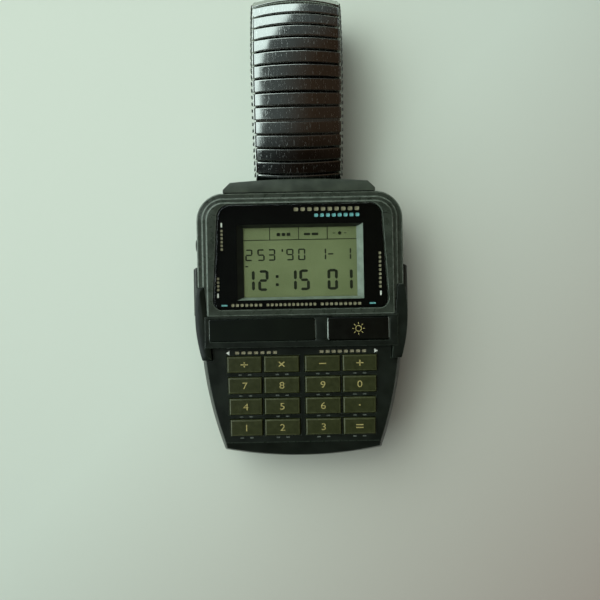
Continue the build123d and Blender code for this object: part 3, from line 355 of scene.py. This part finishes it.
def round_edges(piece, radius, crease=30, segments=2, edge_slot=1):
    """Round every edge sharper than the crease angle, then shade the piece smooth."""
    pick(piece)
    bevel = piece.modifiers.new("rounding", "BEVEL")
    bevel.width = radius * MM
    bevel.segments = segments
    bevel.limit_method = "ANGLE"
    bevel.angle_limit = math.radians(crease)
    bevel.use_clamp_overlap = False
    bevel.material = edge_slot
    bpy.ops.object.modifier_apply(modifier=bevel.name)
    bpy.ops.object.shade_smooth_by_angle(angle=math.radians(crease))
    weigh = piece.modifiers.new("flat_faces_stay_flat", "WEIGHTED_NORMAL")
    weigh.keep_sharp = True
    weigh.weight = 100
    bpy.ops.object.modifier_apply(modifier=weigh.name)


def mount(piece, body, slot, *nodes):
    """Let a finished piece ride on its body and stand for CAD nodes."""
    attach(piece, body)
    if nodes:
        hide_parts(*nodes)
    return piece


def dressed(node, slot, skin, edge, radius, crease=30, segments=2):
    """A copy of a CAD node with its doubles merged and its edges rounded, which replaces the node."""
    source = frame["nodes"][node]
    piece = bpy.data.objects.new(node + "_finished", source.data.copy())
    bpy.context.scene.collection.objects.link(piece)
    piece.data.materials.clear()
    piece.data.materials.append(skin)
    piece.data.materials.append(edge)
    pick(piece)
    bpy.ops.mesh.customdata_custom_splitnormals_clear()
    mesh_tool(
        piece,
        (bpy.ops.mesh.remove_doubles, {"threshold": 0.002 * MM}),
        (bpy.ops.mesh.tris_convert_to_quads, {
            "face_threshold": math.radians(0.4), "shape_threshold": math.pi,
        }),
    )
    round_edges(piece, radius, crease, segments)
    return mount(piece, source["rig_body"], slot, node)


def joined(name, parts):
    """Join copies into one piece at the origin."""
    bpy.ops.object.select_all(action="DESELECT")
    for part in parts:
        part.select_set(True)
    bpy.context.view_layer.objects.active = parts[0]
    bpy.ops.object.join()
    parts[0].name = name
    return parts[0]


def copy_at(master, place):
    """A copy with its own mesh, moved to its place."""
    made = bpy.data.objects.new(master.name, master.data.copy())
    bpy.context.scene.collection.objects.link(made)
    made.data.transform(place)
    return made


def block(name, size, *materials):
    """A box of the given size in millimetres, centred on the origin, ready to be shaped."""
    bpy.ops.object.select_all(action="DESELECT")
    bpy.ops.mesh.primitive_cube_add(size=MM)
    made = bpy.context.object
    made.name = name
    mesh_tool(made, (bpy.ops.transform.resize, {"value": size}))
    for material in materials:
        made.data.materials.append(material)
    return made


def moved(x=0.0, y=0.0, z=0.0):
    """A shift in millimetres."""
    return Matrix.Translation(Vector((x, y, z)) * MM)


# Case, bezel and crystal
HOOD_START_Y = 21.5
WINDOW_TOP_Y = 16.6
WINDOW_HALF_WIDTH = 11.6
ADDED_SLOT = 2

for part in frame["record"]["subparts"]:
    for place in frame["nodes"][part["node"]].material_slots:
        place.material = slot_finish[part["material_slot"]]

case = dressed("case_body", "case_resin", case_resin, case_wear_and_highlight, 0.1)
case.data.materials.append(hood_painted_light)
# the hood's upward faces take the paler copy of the resin: painted light
for face in case.data.polygons:
    if face.center.y > HOOD_START_Y * MM and face.normal.z > 0.5:
        face.material_index = ADDED_SLOT
dressed("bezel_frame", "bezel_resin", bezel_resin, bezel_wear_and_highlight, 0.09)
dressed("crossbar", "bezel_resin", case_resin, case_wear_and_highlight, 0.12)
for gloss in (
    dressed("panel_insert", "insert_panel", insert_gloss, insert_end_highlight, 0.09, segments=3),
    dressed("light_button", "light_cap", light_gloss, light_end_highlight, 0.1, segments=3),
):
    # only the short ends keep the pale edge colour: a painted highlight on the end chamfers
    for face in gloss.data.polygons:
        if abs(face.normal.x) < 0.35:
            face.material_index = 0
dressed("crystal", "crystal", crystal_acrylic, crystal_acrylic, 0.1)
dressed("crystal_seal", "seal_rubber", seal_rubber, seal_rubber, 0.03)
dressed("lcd_panel", "lcd_glass", lcd_glass, lcd_glass, 0.04)
for side in ("mode", "start", "adjust"):
    dressed(f"{side}_pusher", "pusher_resin", pusher_resin, pusher_wear_and_highlight, 0.16, segments=3)

# the window's sloped walls: painted light grey where they face the light, painted shade where they don't
mask = dressed("display_mask", "black_mask", black_mask, mask_wall_painted_light, 0.03)
mask.data.materials.append(mask_wall_painted_shade)
for face in mask.data.polygons:
    in_window = face.center.y < WINDOW_TOP_Y * MM and abs(face.center.x) < WINDOW_HALF_WIDTH * MM
    lit = face.normal.x < -0.2 or face.normal.y > 0.2
    if in_window and abs(face.normal.z) < 0.95:
        face.material_index = 1 if lit else ADDED_SLOT
    else:
        face.material_index = 0

dressed("case_back", "back_steel", back_steel, back_edge, 0.08)
dressed("back_screws", "screw_steel", screw_steel, back_edge, 0.03)
for node in ("end_piece_12", "end_piece_6"):
    dressed(node, "band_steel", band_steel, band_edge, 0.1)


# Keys and their print
DIGIT_HEIGHT = 1.15
SIGN_HEIGHT = 1.55
CAPITAL_SHARE = 0.69
LEGEND_STRETCH = 1.2
LEGEND_DEPTH = 0.008


def legend(key, glyph, centre, height):
    """One printed glyph, centred on a key. The font's capitals are a share of its size."""
    bpy.ops.object.select_all(action="DESELECT")
    bpy.ops.object.text_add()
    print_piece = bpy.context.object
    print_piece.data.body = glyph
    print_piece.data.size = height / CAPITAL_SHARE * MM
    print_piece.data.extrude = LEGEND_DEPTH * MM
    bpy.ops.object.convert(target="MESH")
    print_piece = bpy.context.object
    corners = [Vector(c) for c in print_piece.bound_box]
    middle = sum(corners, Vector()) / len(corners)
    print_piece.data.transform(Matrix.Translation(-middle))
    print_piece.data.transform(Matrix.Diagonal((LEGEND_STRETCH, 1, 1, 1)))
    print_piece.data.transform(moved(centre.x, centre.y, KEY_PRINT_Z))
    print_piece.data.materials.clear()
    print_piece.data.materials.append(khaki_ink)
    print_piece.name = f"{key}_legend"
    mount(print_piece, key, "key_resin")


glyphs = {
    "key_divide": "÷", "key_multiply": "×", "key_subtract": "−", "key_add": "+",
    "key_7": "7", "key_8": "8", "key_9": "9", "key_0": "0",
    "key_4": "4", "key_5": "5", "key_6": "6", "key_point": "·",
    "key_1": "1", "key_2": "2", "key_3": "3", "key_equals": "=",
}
key_centres = []
for node, glyph in glyphs.items():
    low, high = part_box(node)
    centre = (low + high) / 2 / MM
    key_centres.append(centre)
    dressed(node, "key_resin", key_olive, key_wear_and_highlight, 0.08)
    legend(node, glyph, centre, DIGIT_HEIGHT if glyph.isdigit() else SIGN_HEIGHT)


# the part of a row's step that its block fills, and of a bar's shorter side that its corners lose
BLOCK_SHARE = 0.66
CORNER_SHARE = 0.2


def print_bar(x, y, z, width, height, ink):
    """A small printed bar with its corners cut."""
    made = block("print_bar", (width, height, PRINT_THICKNESS), ink)
    cut = min(width, height) * CORNER_SHARE * MM
    mesh_tool(made, (bpy.ops.mesh.bevel, {"offset": cut, "segments": 1}))
    made.data.transform(moved(x, y, z))
    return made


def print_row(x, y, z, length, height, count, ink, upright=False):
    """A row of small blocks that starts at a place and runs to the right, or upward."""
    step = length / count
    turn = Matrix.Rotation(math.radians(90 * upright), 4, "Z")
    master = print_bar(0, 0, 0, step * BLOCK_SHARE, height, ink)
    row = []
    for number in range(count):
        row.append(copy_at(master, moved(x, y, z) @ turn @ moved(x=step * (number + 0.5))))
    bpy.data.objects.remove(master)
    return row


# two rubbed marks below each key, and a pointer with a row of blocks over each half of the keypad
MARK_OFFSET = 0.85
MARK_DROP = 1.85
MARK_WIDTH = 0.62
MARK_HEIGHT = 0.24
HEADING_Y = -6.15
HEADING_HEIGHT = 0.5
POINTER_X = 13.0
POINTER_RADIUS = 0.42

marks = []
for centre in key_centres:
    for offset in (-MARK_OFFSET, MARK_OFFSET):
        x, y = centre.x + offset, centre.y - MARK_DROP
        marks.append(print_bar(x, y, DECK_PRINT_Z, MARK_WIDTH, MARK_HEIGHT, faint_ink))
for side in (-1, 1):
    bpy.ops.object.select_all(action="DESELECT")
    bpy.ops.mesh.primitive_cylinder_add(
        vertices=3, radius=POINTER_RADIUS * MM, depth=PRINT_THICKNESS * MM,
    )
    pointer = bpy.context.object
    pointer.data.materials.append(white_ink)
    outwards = Matrix.Rotation(math.radians(90 * side), 4, "Z") @ Matrix.Rotation(math.pi, 4, "Z")
    pointer.data.transform(outwards)
    pointer.data.transform(moved(side * POINTER_X, HEADING_Y, DECK_PRINT_Z))
    marks.append(pointer)
for x, length, count in ((-12.0, 7.8, 7), (2.9, 8.6, 8)):
    marks += print_row(x, HEADING_Y, DECK_PRINT_Z, length, HEADING_HEIGHT, count, dial_khaki)
mount(joined("keypad_print", marks), "watch_case", "case_resin")

# a black border behind the crystal, narrower at its top, with an opening for the display
BORDER_WIDTH = 30.8
BORDER_TOP_WIDTH = 28.6
BORDER_HEIGHT = 18.3
BORDER_Y = 10.68
OPENING_WIDTH = 22.3
OPENING_HEIGHT = 13.3
OPENING_Y = 9.75

border = block("border_print", (BORDER_WIDTH, BORDER_HEIGHT, PRINT_THICKNESS), black_mask)
for corner in border.data.vertices:
    if corner.co.y > 0:
        corner.co.x *= BORDER_TOP_WIDTH / BORDER_WIDTH
border.data.transform(moved(0, BORDER_Y, BORDER_PRINT_Z))
opening = block("opening", (OPENING_WIDTH, OPENING_HEIGHT, 1))
opening.data.transform(moved(0, OPENING_Y, GLASS_UNDER_Z))
pick(border)
cut = border.modifiers.new("opening", "BOOLEAN")
cut.object = opening
cut.operation = "DIFFERENCE"
bpy.ops.object.modifier_apply(modifier=cut.name)
bpy.data.objects.remove(opening)
mount(border, "watch_case", "crystal")

# on the border: two teal dashes, three pointers to the pushers, rows of blocks and upright rows
FOOT_LINE_Y = 2.25
DASH_LENGTH = 1.1
POINTER_LENGTH = 0.8
LINE_WIDTH = 0.28
UPRIGHT_ROW_WIDTH = 0.42

dial = []
for x in (-13.45, 12.6):
    dial.append(print_bar(x, FOOT_LINE_Y, GLASS_UNDER_Z, DASH_LENGTH, LINE_WIDTH, teal_ink))
for x, y in ((-13.75, 16.4), (-14.55, 4.0), (14.05, 4.0)):
    dial.append(print_bar(x, y, GLASS_UNDER_Z, LINE_WIDTH, POINTER_LENGTH, white_ink))
for x, y, length, height, count, ink in (
    (-12.4, FOOT_LINE_Y, 5.7, 0.5, 7, dial_khaki),
    (-6.2, FOOT_LINE_Y, 9.0, 0.5, 12, dial_khaki),
    (3.3, FOOT_LINE_Y, 7.4, 0.5, 9, dial_khaki),
    (-1.2, 18.95, 11.9, 0.66, 10, dial_khaki),
    (2.4, 17.85, 8.3, 0.6, 8, teal_ink),
):
    dial += print_row(x, y, GLASS_UNDER_Z, length, height, count, ink)
for x, y, length, count in ((-13.75, 11.8, 3.9, 6), (-14.5, 4.7, 2.6, 4), (14.0, 4.8, 6.6, 9)):
    dial += print_row(x, y, GLASS_UNDER_Z, length, UPRIGHT_ROW_WIDTH, count, dial_khaki, upright=True)
mount(joined("dial_print", dial), "watch_case", "crystal")

# a plain lamp sign on the light button: a flat ring with rays
RING_RADIUS = 0.5
RING_WIRE = 0.07
RING_FLATNESS = 0.15
RAYS = 8
RAY_LENGTH = 0.34
RAY_WIDTH = 0.13
RAY_REACH = 0.92

low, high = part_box("light_button")
lamp_x, lamp_y = (low.x + high.x) / 2 / MM, (low.y + high.y) / 2 / MM
bpy.ops.object.select_all(action="DESELECT")
bpy.ops.mesh.primitive_torus_add(
    major_radius=RING_RADIUS * MM, minor_radius=RING_WIRE * MM, major_segments=32, minor_segments=6,
)
ring = bpy.context.object
ring.data.materials.append(khaki_ink)
ring.data.transform(Matrix.Diagonal((1, 1, RING_FLATNESS, 1)))
ring.data.transform(moved(lamp_x, lamp_y, LIGHT_PRINT_Z))
lamp_sign = [ring]
ray = block("ray", (RAY_LENGTH, RAY_WIDTH, PRINT_THICKNESS), khaki_ink)
for number in range(RAYS):
    spoke = Matrix.Rotation(math.radians(360 / RAYS * number), 4, "Z") @ moved(x=RAY_REACH)
    lamp_sign.append(copy_at(ray, moved(lamp_x, lamp_y, LIGHT_PRINT_Z) @ spoke))
bpy.data.objects.remove(ray)
mount(joined("lamp_sign", lamp_sign), "light_button", "light_cap")


# Display
POINT_SHARE = 0.46
UPPER_HALF = 0.745
LOWER_HALF = 0.255
TIME_FOOT_Y = 4.7
DATE_FOOT_Y = 10.05


def segment_bar(length, width):
    """One display segment lying along X, with pointed ends: only its upright edges are cut."""
    made = block("segment", (length, width, PRINT_THICKNESS), segment_dark)
    pick(made)
    for edge in made.data.edges:
        ends = [made.data.vertices[v].co for v in edge.vertices]
        edge.select = abs(ends[0].z - ends[1].z) > 0.01 * MM
    for corner in made.data.vertices:
        corner.select = False
    for face in made.data.polygons:
        face.select = False
    bpy.context.tool_settings.mesh_select_mode = (False, True, False)
    bpy.ops.object.mode_set(mode="EDIT")
    bpy.ops.mesh.bevel(offset=width * POINT_SHARE * MM, segments=1)
    bpy.ops.object.mode_set(mode="OBJECT")
    return made


# the lit segments of each figure, lettered clockwise from the top with the middle one last
segments_of = {
    "0": "abcdef", "1": "bc", "2": "abged", "3": "abgcd", "5": "afgcd", "9": "abcdfg", "-": "g",
}


def figures(text, foot, wide, tall, thick):
    """Seven-segment figures: text is a list of a figure and the place of its left edge."""
    # the segments stop just short of each other
    across = segment_bar(wide - thick, thick * 0.9)
    upright = segment_bar(tall / 2 - thick * 0.45, thick)
    places = {
        "a": (wide / 2, tall - thick / 2, 0),
        "b": (wide - thick / 2, tall * UPPER_HALF, 90),
        "c": (wide - thick / 2, tall * LOWER_HALF, 90),
        "d": (wide / 2, thick / 2, 0),
        "e": (thick / 2, tall * LOWER_HALF, 90),
        "f": (thick / 2, tall * UPPER_HALF, 90),
        "g": (wide / 2, tall / 2, 0),
    }
    made = []
    for figure, left in text:
        for letter in segments_of[figure]:
            x, y, turn = places[letter]
            place = moved(left + x, foot + y, PANEL_PRINT_Z)
            made.append(copy_at(
                upright if turn else across, place @ Matrix.Rotation(math.radians(turn), 4, "Z"),
            ))
    bpy.data.objects.remove(across)
    bpy.data.objects.remove(upright)
    return made


large = [("1", -9.98), ("2", -7.53), ("1", -2.5), ("5", -0.2), ("0", 4.8), ("1", 7.45)]
small = [
    ("2", -9.75), ("5", -7.6), ("3", -5.7), ("9", -2.45), ("0", -0.35),
    ("1", 3.35), ("-", 4.8), ("1", 7.8),
]
display = figures(large, TIME_FOOT_Y, wide=1.85, tall=3.75, thick=0.52)
display += figures(small, DATE_FOOT_Y, wide=1.3, tall=2.1, thick=0.27)
# place and size of each bar: the colon's two dots and two small marks
bars = [(-4.15, TIME_FOOT_Y + height, 0.5, 0.5) for height in (1.1, 2.55)]
bars += [(-3.15, 11.85, 0.26, 0.5), (-9.5, 9.1, 0.5, 0.2)]
# header strip: its rule, three dividers and small plain signs
bars += [(0, 13.75, 20.4, 0.13)]
bars += [(x, 14.95, 0.13, 2.4) for x in (-5.35, -0.2, 4.9)]
bars += [(x, 14.7, 0.62, 0.55) for x in (-3.8, -2.9, -2.0)]
bars += [(x, 14.7, 1.1, 0.4) for x in (1.3, 2.7)]
bars += [(x, 14.8, 0.45, 0.12) for x in (6.1, 8.1)]
for x, y, width, height in bars:
    display.append(print_bar(x, y, PANEL_PRINT_Z, width, height, segment_dark))
diamond = print_bar(0, 0, 0, 0.55, 0.55, segment_dark)
diamond.data.transform(moved(7.1, 14.8, PANEL_PRINT_Z) @ Matrix.Rotation(math.radians(45), 4, "Z"))
display.append(diamond)
mount(joined("display_figures", display), "watch_case", "lcd_glass")

# Expanding band
LINKS_IN_SEGMENT = (5, 4, 4, 2, 2, 2, 6, 7, 7, 6, 5, 2)
END_REACH = 3.9
LINK_PITCH = 2.2348
LINK_GAP = 0.23
LINK_HALF_WIDTH = 7.7
SLEEVE_LENGTH = LINK_PITCH - LINK_GAP

# an outer sleeve's crowned shell, and the core below it
CROWN_TOP = 1.85
CROWN_EDGE = 0.75
SHELL = 0.85
CORE_THICKNESS = 0.58
CORE_Z = 0.58

# an inner sleeve, half a link further on and narrower below, and the plates that join the two rows
UNDER_THICKNESS = 0.82
UNDER_Z = -0.84
UNDER_DRAW = 0.36
PLATE_SIZE = (0.2, 0.5, 1.45)
PLATE_X = LINK_HALF_WIDTH + 0.13
PLATE_Z = -0.175
PLATE_SHARES = (0.25, 0.75)

# the band's middle line starts at the 12 o'clock spring bar: length and bend of each stretch
BAR_Y = 22.0
BAR_Z = 2.5
FIRST_SLOPE = 37.0
FOLD_RADIUS = 4.915
FOLD_BEND = 157.0
LAST_RADIUS = 4.0
LAST_BEND = 90.0
STRETCHES = (
    (12.6, -17.5),
    (8.5, -17.0),
    (12.0, -25.5),
    (FOLD_RADIUS * math.radians(FOLD_BEND), -FOLD_BEND),
    (70.366, 0.0),
    (LAST_RADIUS * math.radians(LAST_BEND), -LAST_BEND),
)


def band_frame(reach):
    """Place and slope of the band at a distance along its middle line."""
    y, z, slope = BAR_Y, BAR_Z, FIRST_SLOPE
    for length, bend in STRETCHES:
        run = min(reach, length)
        turn = bend * run / length
        start, end = math.radians(slope), math.radians(slope + turn)
        if turn == 0:
            y, z = y + run * math.cos(start), z + run * math.sin(start)
        else:
            radius = run / math.radians(turn)
            y += radius * (math.sin(end) - math.sin(start))
            z += radius * (math.cos(start) - math.cos(end))
        slope += turn
        reach -= run
        if reach <= 0:
            break
    return moved(0, y, z) @ Matrix.Rotation(math.radians(slope), 4, "X")


def sleeve_cap():
    """The crowned shell of a sleeve: its end section is spun over the band's width."""
    rise = CROWN_TOP - CROWN_EDGE
    radius = (LINK_HALF_WIDTH ** 2 + rise ** 2) / (2 * rise)
    half = math.asin(LINK_HALF_WIDTH / radius)
    bpy.ops.object.select_all(action="DESELECT")
    bpy.ops.mesh.primitive_plane_add(size=MM)
    cap = bpy.context.object
    cap.name = "sleeve_cap"
    cap.data.transform(Matrix.Rotation(math.radians(90), 4, "Y"))
    mesh_tool(
        cap,
        (bpy.ops.transform.resize, {"value": (1, SLEEVE_LENGTH, SHELL)}),
        (bpy.ops.transform.translate, {"value": (0, 0, (CROWN_TOP - SHELL / 2) * MM)}),
        (bpy.ops.mesh.spin, {
            "steps": 12, "angle": 2 * half,
            "center": (0, 0, (CROWN_TOP - radius) * MM), "axis": (0, 1, 0),
        }),
    )
    centre = moved(z=CROWN_TOP - radius)
    cap.data.transform(centre @ Matrix.Rotation(half, 4, "Y") @ centre.inverted())
    mesh_tool(
        cap,
        (bpy.ops.mesh.remove_doubles, {"threshold": 0.001 * MM}),
        (bpy.ops.mesh.normals_make_consistent, {"inside": False}),
    )
    cap.data.materials.append(band_steel)
    cap.data.materials.append(band_edge)
    round_edges(cap, 0.2, crease=40, segments=3)
    return cap


cap = sleeve_cap()
core_size = (2 * LINK_HALF_WIDTH - 0.35, SLEEVE_LENGTH - 0.1, CORE_THICKNESS)
core = block("sleeve_core", core_size, band_steel, band_edge)
core.data.transform(moved(z=CORE_Z))
round_edges(core, 0.1)
under_size = (2 * LINK_HALF_WIDTH - 0.4, SLEEVE_LENGTH - 0.25, UNDER_THICKNESS)
under = block("sleeve_under", under_size, band_steel, band_edge)
for corner in under.data.vertices:
    if corner.co.z < 0:
        corner.co.y -= math.copysign(UNDER_DRAW * MM, corner.co.y)
under.data.transform(moved(z=UNDER_Z))
round_edges(under, 0.22, segments=3)
# the plates take the dark screw steel: painted shade along the band's edges
plate = block("connector_plate", PLATE_SIZE, screw_steel, screw_steel)
plate.data.transform(moved(z=PLATE_Z))
round_edges(plate, 0.05)

reach = END_REACH
for number, count in enumerate(LINKS_IN_SEGMENT, start=1):
    pieces = []
    for _ in range(count):
        pieces += [copy_at(cap, band_frame(reach)), copy_at(core, band_frame(reach))]
        pieces.append(copy_at(under, band_frame(reach + LINK_PITCH / 2)))
        for share in PLATE_SHARES:
            middle = band_frame(reach + LINK_PITCH * share)
            pieces += [copy_at(plate, middle @ moved(side * PLATE_X)) for side in (-1, 1)]
        reach += LINK_PITCH
    segment = joined(f"band_sleeves_{number}", pieces)
    mount(segment, f"band_links_{number}", "band_steel", f"band_links_{number}")
for master in (cap, core, under, plate):
    bpy.data.objects.remove(master)

# Floor, light and camera
FLOOR_SIZE = 3
FLOOR_GAP = 0.02
LAMP_AIM = Vector((-0.03, 0.03, 0))

bpy.ops.object.select_all(action="DESELECT")
bpy.ops.mesh.primitive_plane_add(size=FLOOR_SIZE, location=(0, 0, 0))
floor = bpy.context.object
floor.name = "paper_floor"
floor.data.transform(Matrix.Translation((0, 0, cad_low.z - FLOOR_GAP * MM)))
# matt paper with a painted shadow: it goes from a pale green to a warm grey, darker towards the lower
# right
paper, tree = new_tree("matt_paper_with_painted_shadow")
place = add_node(tree, "TexCoord").outputs["Object"]
along = add_node(tree, "VectorMath", {
    0: place, 1: (0.7, -0.7, 0.0),
}, operation="DOT_PRODUCT")
share = add_node(tree, "MapRange", {"Value": along.outputs["Value"], "From Min": -0.01, "From Max": 0.09})
tone = add_node(tree, "Mix", {
    0: share.outputs["Result"], 6: linear("#d0dacf"), 7: linear("#a79a91"),
}, data_type="RGBA")
shader = add_node(tree, "BsdfPrincipled", {"Base Color": tone.outputs[2], "Roughness": 0.85})
add_node(tree, "OutputMaterial", {"Surface": shader.outputs["BSDF"]})
floor.data.materials.append(paper)
floor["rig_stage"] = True


def soft_lamp(name, place, size, watts, colour, spread=180):
    """A rectangular soft lamp for the paper and the mouldings: the steel mirrors only the room."""
    lamp = bpy.data.lights.new(name, "AREA")
    lamp.shape = "RECTANGLE"
    lamp.size, lamp.size_y = size
    lamp.energy = watts
    lamp.color = linear(colour)[:3]
    lamp.spread = math.radians(spread)
    holder = bpy.data.objects.new(name, lamp)
    bpy.context.scene.collection.objects.link(holder)
    holder.location = place
    holder.rotation_euler = (LAMP_AIM - Vector(place)).to_track_quat("-Z", "Y").to_euler()
    holder.visible_glossy = False


soft_lamp(
    "window_light", (-0.12, 0.12, 0.20), size=(0.24, 0.24), watts=0.125, colour="#f8fff4", spread=90,
)
soft_lamp("ceiling_light", (-0.03, 0.03, 0.40), size=(0.70, 0.70), watts=0.5, colour="#fffaf2")

# the room that the steel mirrors: a window at the left, a brown wall at the right, dark towards 6 o'clock
world = bpy.data.worlds.new("room")
bpy.context.scene.world = world
world.use_nodes = True
tree = world.node_tree
tree.nodes.clear()
toward = add_node(tree, "TexCoord").outputs["Generated"]
sideways = add_node(tree, "VectorMath", {
    0: toward, 1: (-1.0, 0.0, 0.0),
}, operation="DOT_PRODUCT").outputs["Value"]
farther = add_node(tree, "VectorMath", {
    0: toward, 1: (0.0, 1.0, 0.0),
}, operation="DOT_PRODUCT").outputs["Value"]
cubed = add_node(tree, "Math", {0: farther, 1: 3.0}, operation="POWER").outputs[0]
leftward = add_node(tree, "Math", {0: cubed, 1: 0.6, 2: sideways}, operation="MULTIPLY_ADD").outputs[0]
rightward = add_node(tree, "MapRange", {"Value": leftward, "From Min": 0.25, "From Max": -0.2})
tint = add_node(tree, "Mix", {
    0: rightward.outputs["Result"], 6: linear("#e2f1f2"), 7: linear("#c9a486"),
}, data_type="RGBA")
# the room's own dim light, darker towards 6 o'clock, and the bright window with its sharp edge
room = add_node(tree, "MapRange", {
    "Value": leftward, "From Min": -0.3, "From Max": 0.3, "To Min": 0.07, "To Max": 0.13,
})
darker = add_node(tree, "MapRange", {
    "Value": farther, "From Min": -0.6, "From Max": -0.35, "To Min": 0.25, "To Max": 1.0,
})
window = add_node(tree, "MapRange", {
    "Value": leftward, "From Min": 0.465, "From Max": 0.505, "To Min": 0.0, "To Max": 1.9,
})
level = add_node(tree, "Math", {
    0: room.outputs["Result"], 1: darker.outputs["Result"], 2: window.outputs["Result"],
}, operation="MULTIPLY_ADD").outputs[0]
backdrop = add_node(tree, "Background", {"Color": tint.outputs[2], "Strength": level})
add_node(tree, "OutputWorld", {"Surface": backdrop.outputs[0]})

# the camera is about 105 mm above the crystal and a little rolled, as the photograph's was
camera_data = bpy.data.cameras.new("camera")
camera_data.lens = 36.24
camera_data.sensor_width = 36
camera_data.clip_start = 0.005
camera = bpy.data.objects.new("camera", camera_data)
bpy.context.scene.collection.objects.link(camera)
camera.location = (-0.00016, 0.0030, 0.1142)
camera.rotation_euler = (0, 0, math.radians(-1.06))
bpy.context.scene.camera = camera
bpy.context.scene.view_settings.view_transform = "Standard"

low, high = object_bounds()
